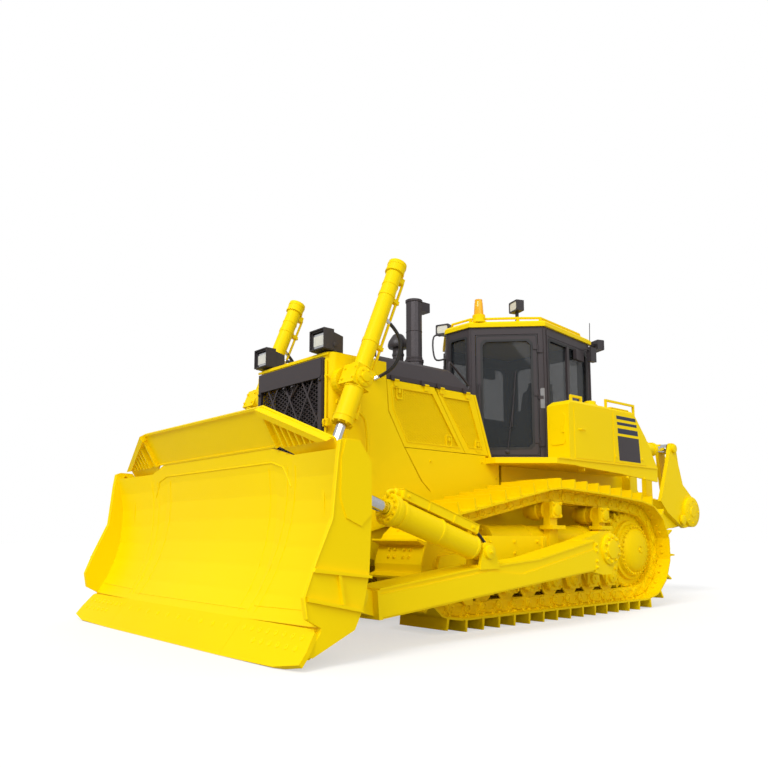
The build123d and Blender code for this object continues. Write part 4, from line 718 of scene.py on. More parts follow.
# %% End plates
ends = Shape()
END = 2.0
ends.side([(-3.700, 1.532), (-3.575, 1.528), (-3.468, 1.386), (-3.466, 1.020), (-3.560, 0.930), (-3.690, 0.985),
           (-3.742, 1.120), (-3.738, 1.400)], END - 0.002, END + 0.010)
ends.side([(-3.955, 0.655), (-3.475, 0.590), (-3.475, 0.570), (-3.975, 0.628)], END - 0.002, END + 0.026)
ends.side([(-4.015, 0.470), (-3.560, 0.365), (-3.545, 0.340), (-4.010, 0.440)], END - 0.002, END + 0.026)
ends.side([(-3.770, 0.620), (-3.745, 0.618), (-3.700, 0.400), (-3.725, 0.405)], END - 0.002, END + 0.022)
ends.tube([(END, -3.744, 1.520), (END, -3.764, 1.391), (END, -3.806, 0.980), (END, -3.950, 0.668)], 0.009, 6)
ends.tube([(END, -3.950, 0.668), (END, -4.030, 0.465), (END, -4.005, 0.330)], 0.009, 6)
ends.turned(spot_at((1.822, -3.450, 0.430), (1, 0, 0)), [(-0.01, 0.080), (0.030, 0.080), (0.036, 0.072)], 28)
# gussets between the back of the end plate and the upper beam
ends.rings([[(1.965, -3.60, 1.40), (1.965, -3.48, 1.36), (1.62, -3.53, 1.36)],
            [(1.965, -3.60, 1.42), (1.965, -3.48, 1.38), (1.62, -3.53, 1.38)]])
for x in (0.857 - 0.088, 0.857 + 0.088):
    ends.turned(spot_at((x, -3.242, 0.880), (1, 0, 0)), [(-0.016, 0.058), (0.016, 0.058)], 24)
for x in (1.75 - 0.088, 1.75 + 0.088):
    ends.turned(spot_at((x, -3.412, 1.170), (1, 0, 0)), [(-0.016, 0.060), (0.016, 0.060)], 24)
ends.mirror().piece("end_plate_parts", YELLOW, "blade")
pin_bolts = [spot_at((1.857, -3.450 + a, 0.430 + b), (1, 0, 0)) for a, b in ((0.035, 0.02), (-0.035, -0.02))]
bolts("blade_pin_bolts", mirrored(pin_bolts), YELLOW, "blade", 0.012)

# %% [markdown]
# ## Push arms and cylinders
#
# Each arm is a welded box with a raised lower panel. Its bearing head is closed by a bolted
# cap. The cylinders get glands with a ring of bolts, clamp bands and their oil pipes.

# %% Push arms
arms = Shape()
ARM_FACE = 1.820
arms.side([(-3.205, 0.268), (-3.232, 0.435), (-2.02, 0.562), (-1.56, 0.522), (-0.44, 0.722), (-0.395, 0.700),
           (-0.395, 0.530)], ARM_FACE - 0.002, ARM_FACE + 0.012)
arms.side([(-3.245, 0.250), (-3.262, 0.462), (-3.235, 0.465), (-3.205, 0.250)], 1.53, ARM_FACE + 0.014)
arms.side([(-0.420, 0.505), (-0.420, 0.815), (-0.365, 0.815), (-0.365, 0.505)], 1.51, ARM_FACE + 0.010)
arms.side([(-3.235, 0.462), (-2.137, 0.583), (-1.313, 0.637), (-0.42, 0.797), (-0.42, 0.812), (-1.313, 0.652),
           (-2.137, 0.598), (-3.235, 0.477)], 1.510, ARM_FACE + 0.008)
cap = spot_at((1.600, 0.218, 0.715), (1, 0, 0))
arms.turned(cap, [(-0.003, 0.165), (0.022, 0.165), (0.028, 0.155), (0.028, 0.105), (0.045, 0.098), (0.050, 0.06)], 36)
arms.side([(0.05, 0.905), (0.30, 0.905), (0.30, 0.86), (0.05, 0.86)], 1.47, 1.57)
for x in (1.836, 1.664 - 0.028):
    arms.turned(spot_at((x, -2.020, 0.725), (1, 0, 0)), [(-0.002, 0.058), (0.024, 0.058), (0.028, 0.050)], 24)
arms.side([(-2.13, 0.585), (-2.13, 0.615), (-1.88, 0.632), (-1.88, 0.602)], 1.60, 1.83)
arms.mirror().piece("push_arm_parts", YELLOW, "push_arms")
arm_bolts = circle_of((1.628, 0.218, 0.715), (1, 0, 0), 0.132, 10, 0.2)
arm_bolts += [spot_at((1.831, -0.392, z), (1, 0, 0)) for z in (0.55, 0.61, 0.71, 0.77)]
arm_bolts += [spot_at((1.864, -2.020, 0.725), (1, 0, 0))]
bolts("push_arm_bolts", mirrored(arm_bolts), YELLOW, "push_arms", 0.015)

# %% Lift cylinders
LIFT_X = 0.857
LIFT_TOP = Vector((LIFT_X, -2.662, 2.287))
LIFT_DIR = (Vector((LIFT_X, -3.242, 0.880)) - LIFT_TOP).normalized()
LIFT_BACK = Vector((0, -LIFT_DIR.z, LIFT_DIR.y))
lift = spot_at(LIFT_TOP, LIFT_DIR, LIFT_BACK)


def band(shape, spot, start, end, radius, round_off=0.003):
    """Ring round a cylinder, open in the middle for its rod."""
    steps = [(start, radius - round_off), (start + round_off, radius), (end - round_off, radius), (end, radius - round_off)]
    return shape.turned(spot, steps, 40, 0.051)


cylinders = Shape()
band(cylinders, lift, -1.308, -1.290, 0.088, 0.006)
band(cylinders, lift, -1.285, -1.262, 0.0955)
band(cylinders, lift, -1.205, -1.185, 0.0955)
band(cylinders, lift, -1.050, -1.030, 0.0820)
band(cylinders, lift, -0.110, -0.098, 0.1080)
band(cylinders, lift, 0.100, 0.118, 0.0980)
band(cylinders, lift, 0.404, 0.418, 0.1030)
band(cylinders, lift, 0.468, 0.478, 0.0760)
for start in (-0.95, -0.42):
    band(cylinders, lift, start, start + 0.045, 0.0830)
    clamp = [(-0.024, 0.076), (0.024, 0.076), (0.024, 0.150), (-0.024, 0.150)]
    cylinders.slab(lift @ Matrix.Translation((0, 0, start)), clamp, 0.004, 0.041)
# trunnion yoke: round cap outside; its cover plate in front is not drawn here
yoke = spot_at((0.952, -2.662, 2.287), (1, 0, 0))
cylinders.turned(yoke, [(-0.002, 0.092), (0.012, 0.092), (0.018, 0.082), (0.020, 0.050), (0.034, 0.046), (0.036, 0.036)], 28)
# ports at both ends of the pipe
for start in (-1.16, 0.34):
    cylinders.slab(lift @ Matrix.Translation((0, 0, start)), [(-0.030, 0.070), (0.030, 0.070), (0.030, 0.125), (-0.030, 0.125)], -0.03, 0.03)
pipe = [lift @ Vector(point) for point in ((0, 0.095, -1.16), (0, 0.118, -1.158), (0, 0.130, -1.13), (0, 0.132, -1.08),
                                           (0, 0.132, -0.20), (0, 0.150, -0.16))]
cylinders.tube(bend(pipe, 5), 0.014, 10)
lower = [lift @ Vector(point) for point in ((0.112, 0.02, -0.10), (0.125, 0.05, 0.0), (0.085, 0.115, 0.10), (0.02, 0.128, 0.20), (0.0, 0.126, 0.33))]
cylinders.tube(bend(lower, 6), 0.012, 10)
cylinders.mirror().piece("lift_cylinder_parts", YELLOW, "lift_barrels")
lift_bolts = [lift @ Matrix.Translation((*point, 0.470)) for point in disc(0.086, 8, 0.2)]
lift_bolts += circle_of((0.966, -2.662, 2.287), (1, 0, 0), 0.068, 6)
lift_bolts += seats("lift_barrels", [(LIFT_X + a, -3.4, 2.287 + b) for a in (-0.075, 0.075) for b in (-0.01, 0.09)], AHEAD)
lift_bolts += [lift @ Matrix.Translation((0, 0.150, start + 0.022)) @ Matrix.Rotation(-math.pi / 2, 4, "X") for start in (-0.95, -0.42)]
bolts("lift_cylinder_bolts", mirrored(lift_bolts), YELLOW, "lift_barrels", 0.011)
eyes = Shape()
eyes.turned(spot_at((LIFT_X - 0.0485, -3.242, 0.880), (1, 0, 0)), [(0.0, 0.074), (0.097, 0.074)], 32)
band(eyes, lift @ Matrix.Translation((0, 0, 1.5219)), -0.115, -0.050, 0.052)
eyes.mirror().piece("lift_rod_eyes", YELLOW, "lift_rods")

# %% Tilt cylinders
TILT_X = 1.75
TILT_BASE = Vector((TILT_X, -2.020, 0.725))
TILT_DIR = (Vector((TILT_X, -3.412, 1.170)) - TILT_BASE).normalized()
tilt = spot_at(TILT_BASE, TILT_DIR)
tilts = Shape()
band(tilts, tilt, 0.122, 0.150, 0.104)
band(tilts, tilt, 0.585, 1.075, 0.1065, 0.005)
band(tilts, tilt, 0.560, 0.590, 0.111)
band(tilts, tilt, 1.066, 1.104, 0.1275, 0.004)
band(tilts, tilt, 1.110, 1.134, 0.1275, 0.004)
band(tilts, tilt, 1.132, 1.142, 0.072)
band(tilts, tilt, 0.985, 1.020, 0.1120)
shelf = [(-0.062, 0.186), (0.062, 0.186), (0.062, 0.192), (-0.062, 0.192)]
tilts.slab(tilt, shelf, 0.142, 1.055)
for start in (0.146, 0.44, 0.74, 1.03):
    tilts.slab(tilt @ Matrix.Translation((0, 0.150, start)), oblong(0.122, 0.082, 0.010), 0.0, 0.016)
tilts.turned(tilt @ Matrix.Translation((0, 0.150, 1.045)), [(0.0, 0.032), (0.05, 0.032), (0.055, 0.024)], 20)
hook = [tilt @ Vector(point) for point in ((0, 0.150, 1.05), (0, 0.150, 1.12), (0, 0.120, 1.16), (0, 0.095, 1.12))]
tilts.tube(bend(hook, 5), 0.016, 10)
tilts.mirror().piece("tilt_cylinder_parts", YELLOW, "tilt_barrels")
tilt_bolts = [tilt @ Matrix.Translation((*point, 1.134)) for point in disc(0.100, 12, 0.13)]
tilt_bolts += [tilt @ Matrix.Translation((0.056, 0.150, start)) @ Matrix.Rotation(math.pi / 2, 4, "Y") for start in (0.215, 0.985)]
bolts("tilt_cylinder_bolts", mirrored(tilt_bolts), YELLOW, "tilt_barrels", 0.012)
eyes = Shape()
eyes.turned(spot_at((TILT_X - 0.0485, -3.412, 1.170), (1, 0, 0)), [(0.0, 0.077), (0.097, 0.077)], 32)
eyes.mirror().piece("tilt_rod_eyes", YELLOW, "tilt_rods")
print("blade, arms and cylinders dressed")

# %% [markdown]
# ## Front and engine bay
#
# A blank charcoal mask closes the top of the grille, expanded mesh covers the rest. The
# lattice is clipped to its opening: each strand is cut where it meets the outline.

# %% Lattice
CHARCOAL_SKIN = charcoal_paint


def lattice(shape, spot, outline, pitch, lean, width, low, high):
    """Crossing strands over a convex outline."""
    corners = [Vector(point) for point in outline]
    for side in (-1, 1):
        run = Vector((math.cos(lean), side * math.sin(lean)))
        cross = Vector((-run.y, run.x))
        offsets = [corner.dot(cross) for corner in corners]
        count = int((max(offsets) - min(offsets)) / pitch)
        for index in range(1, count + 1):
            level = min(offsets) + (index - 0.5) * (max(offsets) - min(offsets)) / count
            hits = []
            for a, b in zip(corners, corners[1:] + corners[:1]):
                da, db = a.dot(cross) - level, b.dot(cross) - level
                if da * db < 0:
                    hits.append((a + (b - a) * da / (da - db)).dot(run))
            if len(hits) == 2:
                ends = [cross * level + run * reach for reach in sorted(hits)]
                edge = cross * width / 2
                strand = [ends[0] - edge, ends[1] - edge, ends[1] + edge, ends[0] + edge]
                shape.slab(spot, [tuple(point) for point in strand], low, high)
    return shape


# %% Guard, grille and lamps
FACE = -2.810
face = spot_at((0, FACE, 0), (0, -1, 0))
mesh = Shape()
lattice(mesh, face @ Matrix.Translation((0, 0, 0)), [(-0.508, 1.095), (0.508, 1.095), (0.508, 2.320), (-0.508, 2.320)],
        0.036, 0.50, 0.009, -0.012, -0.006)
mesh.piece("grille_mesh", CHARCOAL_SKIN, "root")
mask = Shape()
mask.slab(face, oblong(1.08, 0.185, 0.02), 0.032, 0.038)
for item in mask.mesh.verts:
    item.co.z += 2.420
for x in (-0.525, 0.525):
    mask.slab(face @ Matrix.Translation((x, 1.70, 0)), oblong(0.050, 1.24, 0.005), 0.031, 0.038)
for a, b in (((-0.13, 2.322), (0.0, 2.205)), ((0.13, 2.322), (0.0, 2.205))):
    mask.tube([face @ Vector((*a, 0.005)), face @ Vector((*b, 0.005))], 0.012, 6)
mask.piece("grille_mask", CHARCOAL_SKIN, "root")
front_bolts = [face @ Matrix.Translation((x, z, 0.038)) for x in (-0.525, 0.525) for z in (1.20, 1.75, 2.30)]
front_bolts += [face @ Matrix.Translation((x, 2.300, 0.034)) for x in (-0.07, 0.07)]
bolts("grille_bolts", front_bolts, dark_steel, "root", 0.013)

guard_parts = Shape()
guard_parts.tube([(0.58, -2.818, 0.95), (0.58, -2.818, 2.49)], 0.012, 8)
for z in (2.33, 1.35):
    guard_parts.side([(-2.812, z), (-2.826, z), (-2.826, z + 0.016), (-2.812, z + 0.016)], 0.565, 0.62)
guard_parts.box((0.558, 0.640), (-2.838, -2.808), (1.86, 1.93))
guard_parts.tube(bend([(0.600, -2.83, 1.868), (0.600, -2.86, 1.876), (0.600, -2.86, 1.914), (0.600, -2.83, 1.922)], 4), 0.008, 6)
guard_parts.mirror()
guard_parts.box((-0.60, 0.60), (-2.822, -2.808), (2.535, 2.556))
guard_parts.piece("guard_trim", YELLOW, "root")

lamps = Shape()
lenses = Shape()
lamp_hoods = Shape()
for side in (-1, 1):
    x = side * 0.496
    lamps.rings([[(x - 0.100, -2.842, 2.612), (x + 0.100, -2.842, 2.612), (x + 0.100, -2.842, 2.745), (x - 0.100, -2.842, 2.745)],
                 [(x - 0.076, -2.836, 2.628), (x + 0.076, -2.836, 2.628), (x + 0.076, -2.836, 2.728), (x - 0.076, -2.836, 2.728)]])
    lenses.rings([[(x - 0.075, -2.846, 2.630), (x + 0.075, -2.846, 2.630), (x + 0.075, -2.846, 2.726), (x - 0.075, -2.846, 2.726)],
                  [(x - 0.075, -2.826, 2.630), (x + 0.075, -2.826, 2.630), (x + 0.075, -2.826, 2.726), (x - 0.075, -2.826, 2.726)]])
    visor = [(-0.116, 2.592), (-0.116, 2.787), (0.116, 2.787), (0.116, 2.592)]
    inner = [(-0.106, 2.602), (-0.106, 2.777), (0.106, 2.777), (0.106, 2.602)]
    visor_spot = face @ Matrix.Translation((side * 0.496, 0, 0))
    lamp_hoods.slab(visor_spot, visor, -0.06, 0.058, inner)
    lamp_hoods.turned(spot_at((x + side * 0.113, -2.74, 2.64), (side, 0, 0)), [(0.0, 0.022), (0.010, 0.022), (0.012, 0.016)], 16)
lamps.piece("front_lamp_rims", chrome, "root")
lenses.piece("front_lamp_lenses", lamp_glass, "root")
lamp_hoods.piece("front_lamp_visors", housing_plastic, "root")

# %% Tube guards beside the lift cylinders
loops = Shape()
path = [(0.625, -2.60, 2.02), (0.700, -2.60, 2.02), (0.715, -2.50, 1.99), (0.715, -2.44, 1.90), (0.715, -2.42, 1.66),
        (0.700, -2.44, 1.60), (0.625, -2.46, 1.60)]
loops.tube(bend(path, 6), 0.017, 10)
loops.side([(-2.64, 2.06), (-2.38, 2.06), (-2.38, 1.94), (-2.44, 1.60), (-2.58, 1.60), (-2.64, 1.94)], 0.6195, 0.630)
loops.slab(spot_at((0.6195, -2.46, 1.40), (1, 0, 0)), oblong(0.17, 0.26, 0.01), 0.0, 0.006)
for y, z in ((-2.70, 2.10), (-2.70, 1.20)):
    loops.slab(spot_at((0.6195, y, z), (1, 0, 0)), oblong(0.06, 0.04, 0.005), 0.0, 0.02)
loops.mirror().piece("tube_guards", YELLOW, "root")
side_bolts = [spot_at((0.630, y, z), (1, 0, 0)) for y, z in ((-2.60, 2.02), (-2.42, 2.02), (-2.46, 1.66), (-2.56, 1.66))]
side_bolts += seats(("side_covers", "radiator_guard"), [(1.4, y, z) for y, z in ((-2.20, 1.20), (-1.50, 1.18), (-0.90, 1.18), (-0.52, 1.18),
                                                            (-1.50, 1.62), (-0.70, 1.66), (-0.47, 1.50), (-2.0, 1.32))], (-1, 0, 0))
bolts("side_bolts", mirrored(side_bolts), YELLOW, "root", 0.012)

# %% Engine doors: frames, mesh and latches
FRONT_INSET = [(-2.030, 2.329), (-2.005, 2.110), (-1.820, 1.800), (-1.075, 1.800), (-1.465, 2.329)]
REAR_INSET = [(-1.310, 2.319), (-0.915, 1.810), (-0.700, 1.810), (-0.905, 2.319)]


def grown(outline, amount):
    """Outline scaled about its middle."""
    centre = [sum(values) / len(outline) for values in zip(*outline)]
    return [tuple(c + (value - c) * amount for value, c in zip(point, centre)) for point in outline]


for side, word in ((1, "left"), (-1, "right")):
    for place_name, inset, latches in (("front", FRONT_INSET, [(-1.22, 1.85), (-1.93, 2.28)]), ("rear", REAR_INSET, [(-0.76, 1.83)])):
        flank = Matrix.Translation((side * 0.609, 0, 0)) @ Matrix(((0, 0, 1, 0), (1, 0, 0, 0), (0, 1, 0, 0), (0, 0, 0, 1)))
        if side < 0:
            flank = Matrix.Diagonal((-1, 1, 1, 1)) @ Matrix.Translation((0.609, 0, 0)) @ Matrix(((0, 0, 1, 0), (1, 0, 0, 0), (0, 1, 0, 0), (0, 0, 0, 1)))
        body = f"engine_door_{place_name}_{word}"
        net = lattice(Shape(), flank, inset, 0.024, 0.55, 0.006, 0.000, 0.003)
        net.piece(f"{body}_mesh", YELLOW, body)
        rim = Shape().slab(flank, grown(inset, 1.035), 0.009, 0.018, grown(inset, 0.985))
        for y, z in latches:
            rim.slab(flank @ Matrix.Translation((y, z, 0)), oblong(0.085, 0.13, 0.012), 0.000, 0.016, oblong(0.060, 0.10, 0.010))
            rim.slab(flank @ Matrix.Translation((y, z + 0.02, 0)), oblong(0.035, 0.045, 0.005), 0.000, 0.018)
        rim.piece(f"{body}_trim", YELLOW, body)
print("front dressed")

# %% Hood, stacks and rails
hood_parts = Shape()
rail = [(0.44, -1.02, 2.560), (0.44, -1.02, 2.735), (0.44, -0.98, 2.750), (0.44, -0.72, 2.560), (0.44, -0.70, 2.520),
        (0.44, -0.76, 2.280)]
hood_parts.tube(bend(rail, 5), 0.014, 10)
for y in (-2.12, -1.86):
    hood_parts.side([(y, 2.652), (y + 0.10, 2.652), (y + 0.10, 2.668), (y, 2.668)], 0.30, 0.44)
hood_parts.side([(-2.40, 2.652), (-2.36, 2.662), (-1.20, 2.662), (-1.16, 2.652)], 0.20, 0.26)
hood_parts.mirror()
hood_parts.turned(spot_at((0, -1.132, 2.655), (0, 0, 1), (0, 1, 0)), [(0.0, 0.150), (0.020, 0.150), (0.030, 0.125), (0.03, 0.108)], 36)
stack = spot_at((0, -1.132, 2.655), (0, 0, 1), (0, 1, 0))
band(hood_parts, stack, 0.060, 0.085, 0.110)
band(hood_parts, stack, 0.160, 0.195, 0.110)
band(hood_parts, stack, 0.870, 0.900, 0.099)
band(hood_parts, stack, 0.200, 0.225, 0.0965)
band(hood_parts, stack, 0.520, 0.528, 0.0945)
hood_parts.piece("hood_parts", CHARCOAL_SKIN, "root")
# a thin black disc just below the stack's rim: painted shade standing for the dark depth of its open bore
hole = Shape().turned(stack @ Matrix.Translation((0, 0, 0.890)), [(0.0, 0.080), (0.0075, 0.080)], 32)
hole.piece("stack_mouth", rubber, "root")
cleaner = Shape()
intake = spot_at((-0.300, -1.108, 2.655), (0, 0, 1), (0, 1, 0))
cleaner.turned(intake, [(0.385, 0.070), (0.395, 0.112), (0.415, 0.122), (0.440, 0.122), (0.475, 0.112), (0.550, 0.064), (0.562, 0.050), (0.566, 0.02)], 36)
band(cleaner, intake, 0.030, 0.060, 0.072)
band(cleaner, intake, 0.300, 0.330, 0.072)
cleaner.piece("precleaner_bowl", housing_plastic, "root")

# %% Hoses
hoses = []


def route(points):
    """Line of a hose: the NURBS spline of its route's points."""
    line = bpy.data.curves.new("route", "CURVE")
    line.dimensions = "3D"
    line.resolution_u = 12
    spline = line.splines.new("NURBS")
    spline.points.add(len(points) - 1)
    for knot, point in zip(spline.points, points):
        knot.co = (*point, 1.0)
    spline.order_u = 3
    spline.use_endpoint_u = True
    holder = bpy.data.objects.new("route", line)
    bpy.context.scene.collection.objects.link(holder)
    mesh = bpy.data.meshes.new_from_object(holder)
    path = [vertex.co.copy() for vertex in mesh.vertices]
    bpy.data.objects.remove(holder)
    bpy.data.curves.remove(line)
    bpy.data.meshes.remove(mesh)
    return path


def hose(name, corners, radius, start_body, end_body):
    """Free hydraulic hose from one body to another."""
    path = route(corners)
    mesh = Shape().tube(path, radius, 10).data(name)
    mesh.materials.append(rubber)
    piece = bpy.data.objects.new(name, mesh)
    bpy.context.scene.collection.objects.link(piece)
    if start_body == end_body:
        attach(piece, start_body)
    else:
        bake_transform(piece)
    hoses.append(piece)
    for word, here, ahead, body in (("start", path[0], path[1], start_body), ("end", path[-1], path[-2], end_body)):
        direction = (ahead - here).normalized()
        steps = [(-0.020, radius * 1.2), (0.035, radius * 1.2), (0.040, radius * 1.05)]
        Shape().turned(spot_at(here, direction, (0.3, 0.1, 1)), steps, 8).piece(f"{name}_{word}", chrome, body)


LIFT_HOSES = (
    ("root", "lift_barrels", [(0.600, -2.240, 2.560), (0.600, -2.240, 2.630), (0.642, -2.276, 2.725),
                              (0.716, -2.340, 2.778), (0.785, -2.400, 2.780)]),
    ("lift_barrels", "root", [(0.857, -2.306, 2.900), (0.880, -2.160, 2.800), (0.850, -2.120, 2.600),
                              (0.760, -2.170, 2.440), (0.640, -2.260, 2.380)]),
)
TILT_HOSE = [(1.700, -2.130, 0.880), (1.625, -2.070, 0.950), (1.570, -1.930, 0.940), (1.570, -1.780, 0.820),
             (1.600, -1.660, 0.645)]
for side, word in ((1, "left"), (-1, "right")):
    for index, (start_body, end_body, corners) in enumerate(LIFT_HOSES):
        hose(f"lift_hose_{index}_{word}", [(side * x, y, z) for x, y, z in corners], 0.017, start_body, end_body)
    hose(f"tilt_hose_{word}", [(side * x, y, z) for x, y, z in TILT_HOSE], 0.014, "tilt_barrels", "push_arms")
print("hoses:", len(hoses))

# %% [markdown]
# ## Cab
#
# Local frames on the cab's walls keep the trim simple: x runs along the wall, y is up, z
# looks out. The seat is stuffed cloth, so its cushions are rounded by subdivision.

# %% Wall frames
CAB_FRONT = Vector((0.190, -0.391, 0))
CAB_SIDE = Vector((0.820, 0.218, 0))
CAB_REAR = Vector((0.670, 1.378, 0))


def wall(corner, end):
    run = (end - corner).normalized()
    out = Vector((run.y, -run.x, 0))
    turn = Matrix((run, Vector((0, 0, 1)), out)).transposed().to_4x4()
    return Matrix.Translation(corner) @ turn


DOOR_WALL = wall(CAB_FRONT, CAB_SIDE)
SIDE_WALL = wall(CAB_SIDE, CAB_REAR)
REAR_WALL = wall(Vector((0.670, 1.378, 0)), Vector((-0.670, 1.378, 0)))
FRONT_WALL = wall(Vector((-0.190, -0.391, 0)), Vector((0.190, -0.391, 0)))


def pane(x_low, x_high, z_low, z_high, cut=0.045):
    """Outline of a pane with cut corners, on a wall."""
    middle = ((x_low + x_high) / 2, (z_low + z_high) / 2)
    return [(a + middle[0], b + middle[1]) for a, b in oblong(x_high - x_low, z_high - z_low, cut)]


# %% Seals, pillars and trim on the shell
seals = Shape()
seals.slab(SIDE_WALL, pane(0.075, 1.095, 2.315, 3.205), -0.004, 0.004, pane(0.105, 1.065, 2.345, 3.175))
seals.mirror()
seals.slab(REAR_WALL, pane(0.135, 1.205, 2.365, 3.205), -0.004, 0.004, pane(0.165, 1.175, 2.395, 3.175))
seals.slab(FRONT_WALL, pane(0.045, 0.335, 2.135, 3.235, 0.02), -0.004, 0.004, pane(0.070, 0.310, 2.160, 3.210, 0.02))
seals.piece("window_seals", rubber, "root")

trim = Shape()
trim.slab(SIDE_WALL, pane(0.545, 0.605, 2.33, 3.19, 0.0), -0.020, 0.008)
trim.slab(SIDE_WALL, pane(0.03, 1.14, 3.225, 3.300, 0.02), -0.002, 0.006)
trim.slab(SIDE_WALL, pane(0.10, 1.06, 1.80, 2.24, 0.05), -0.002, 0.006)
for x in (0.06, 1.11):
    trim.tube([SIDE_WALL @ Vector((x, 1.76, 0.0)), SIDE_WALL @ Vector((x, 3.30, 0.0))], 0.012, 8)
trim.tube([(0.190, -0.391, 1.76), (0.190, -0.391, 3.30)], 0.014, 8)
trim.tube([(0.820, 0.218, 1.76), (0.820, 0.218, 3.30)], 0.016, 8)
trim.tube([(0.670, 1.378, 1.76), (0.670, 1.378, 3.30)], 0.016, 8)
trim.slab(SIDE_WALL, pane(0.72, 0.92, 3.05, 3.18, 0.01), 0.004, 0.05)
trim.mirror()
for offset in range(5):
    trim.slab(REAR_WALL, pane(0.42, 0.92, 1.90 + 0.06 * offset, 1.925 + 0.06 * offset, 0.0), -0.002, 0.010)
trim.piece("cab_trim", CHARCOAL_SKIN, "root")

# %% Doors: pull, latch, seal and wiper
FLIP = Matrix.Diagonal((-1, 1, 1, 1))
for side, word in ((1, "left"), (-1, "right")):
    body = f"cab_door_{word}"
    door = DOOR_WALL
    parts, dark = Shape(), Shape()
    dark.slab(door, pane(0.122, 0.740, 1.855, 3.180), -0.004, 0.003, pane(0.150, 0.712, 1.883, 3.152))
    dark.slab(door, pane(0.074, 0.788, 1.792, 3.228, 0.02), -0.004, 0.002, pane(0.082, 0.780, 1.800, 3.220, 0.02))
    pull = [(0.100, 2.20, 0.0), (0.100, 2.22, 0.045), (0.100, 2.62, 0.045), (0.100, 2.64, 0.0)]
    parts.tube([door @ Vector(point) for point in pull], 0.010, 8)
    parts.slab(door, pane(0.080, 0.122, 2.04, 2.16, 0.008), -0.002, 0.014)
    parts.slab(door, pane(0.090, 0.112, 2.07, 2.13, 0.004), 0.014, 0.026)
    parts.turned(door @ Matrix.Translation((0.42, 1.832, 0.0)), [(0.0, 0.026), (0.018, 0.024), (0.022, 0.016)], 16)
    parts.tube([door @ Vector(point) for point in ((0.42, 1.832, 0.018), (0.46, 2.15, 0.016), (0.50, 2.42, 0.012))], 0.006, 6)
    parts.tube([door @ Vector(point) for point in ((0.475, 2.12, 0.010), (0.53, 2.78, 0.008))], 0.007, 6)
    if side < 0:
        for shape in (parts, dark):
            for corner in shape.mesh.verts:
                corner.co.x = -corner.co.x
    dark.piece(f"{body}_seal", rubber, body)
    parts.piece(f"{body}_parts", housing_plastic, body)

# %% Roof: rails, lamp lenses, beacon dome, aerial, mirror
roof = Shape()
ROOF = 3.400
roof_rail = [(-0.52, 0.02, 3.395), (-0.52, 0.03, 3.455), (-0.15, -0.33, 3.455), (0.15, -0.33, 3.455), (0.56, 0.06, 3.455), (0.74, 0.26, 3.455),
             (0.62, 1.24, 3.455), (0.62, 1.27, 3.395)]
roof.tube(roof_rail, 0.016, 8)
for x, y in ((0.15, -0.33), (0.56, 0.06), (0.74, 0.26), (0.68, 0.75)):
    roof.box((x - 0.014, x + 0.014), (y - 0.014, y + 0.014), (3.395, 3.455))
roof.box((-0.42, 0.42), (0.45, 1.15), (3.395, 3.440))
roof.box((-0.36, 0.36), (0.52, 1.08), (3.435, 3.460))
roof.box((0.44, 0.56), (0.07, 0.17), (3.395, 3.425))
roof.turned(spot_at((0.23, -0.27, ROOF), (0, 0, 1), (0, 1, 0)), [(-0.002, 0.095), (0.012, 0.095), (0.018, 0.078), (0.090, 0.078), (0.106, 0.060)], 32)
roof.piece("roof_rails", YELLOW, "root")
dome = Shape().turned(spot_at((0.23, -0.27, ROOF), (0, 0, 1), (0, 1, 0)), [(0.10, 0.056), (0.115, 0.058), (0.25, 0.050), (0.278, 0.040), (0.290, 0.020)], 32)
dome.piece("beacon_dome", amber, "root")
lens, bezel = Shape(), Shape()
for x, y, z, turn_by in ((0.500, 0.122, 3.620, -20), (-0.560, -0.060, 3.520, 20), (0.650, 1.590, 3.352, 160), (-0.650, 1.590, 3.352, -160)):
    angle = math.radians(turn_by)
    spot = spot_at((x + 0.045 * math.sin(angle), y - 0.045 * math.cos(angle), z), (math.sin(angle), -math.cos(angle), 0))
    lens.slab(spot, oblong(0.150, 0.100, 0.015), 0.0, 0.006)
    bezel.slab(spot, oblong(0.184, 0.134, 0.010), -0.012, 0.012, oblong(0.150, 0.100, 0.015))
lens.piece("work_lamp_lenses", lamp_glass, "root")
bezel.piece("work_lamp_bezels", housing_plastic, "root")
stalks = Shape()
stalks.tube(bend([(-0.195, -0.390, 3.02), (-0.29, -0.50, 3.02), (-0.31, -0.50, 3.30), (-0.195, -0.390, 3.31)], 5), 0.011, 8)
stalks.tube([(0.640, 1.395, 3.30), (0.648, 1.44, 3.36), (0.650, 1.45, 3.64)], 0.005, 6)
stalks.tube([(0.700, 1.12, 3.20), (0.78, 1.16, 3.22), (0.80, 1.20, 3.20)], 0.009, 6)
stalks.box((0.765, 0.825), (1.19, 1.31), (3.06, 3.24))
stalks.piece("aerial_and_stalks", housing_plastic, "root")
glass_plate = Shape().slab(DOOR_WALL, pane(0.815, 0.872, 2.34, 2.58, 0.01), -0.002, 0.010)
glass_plate.piece("pillar_mirror", plate_grey, "root")

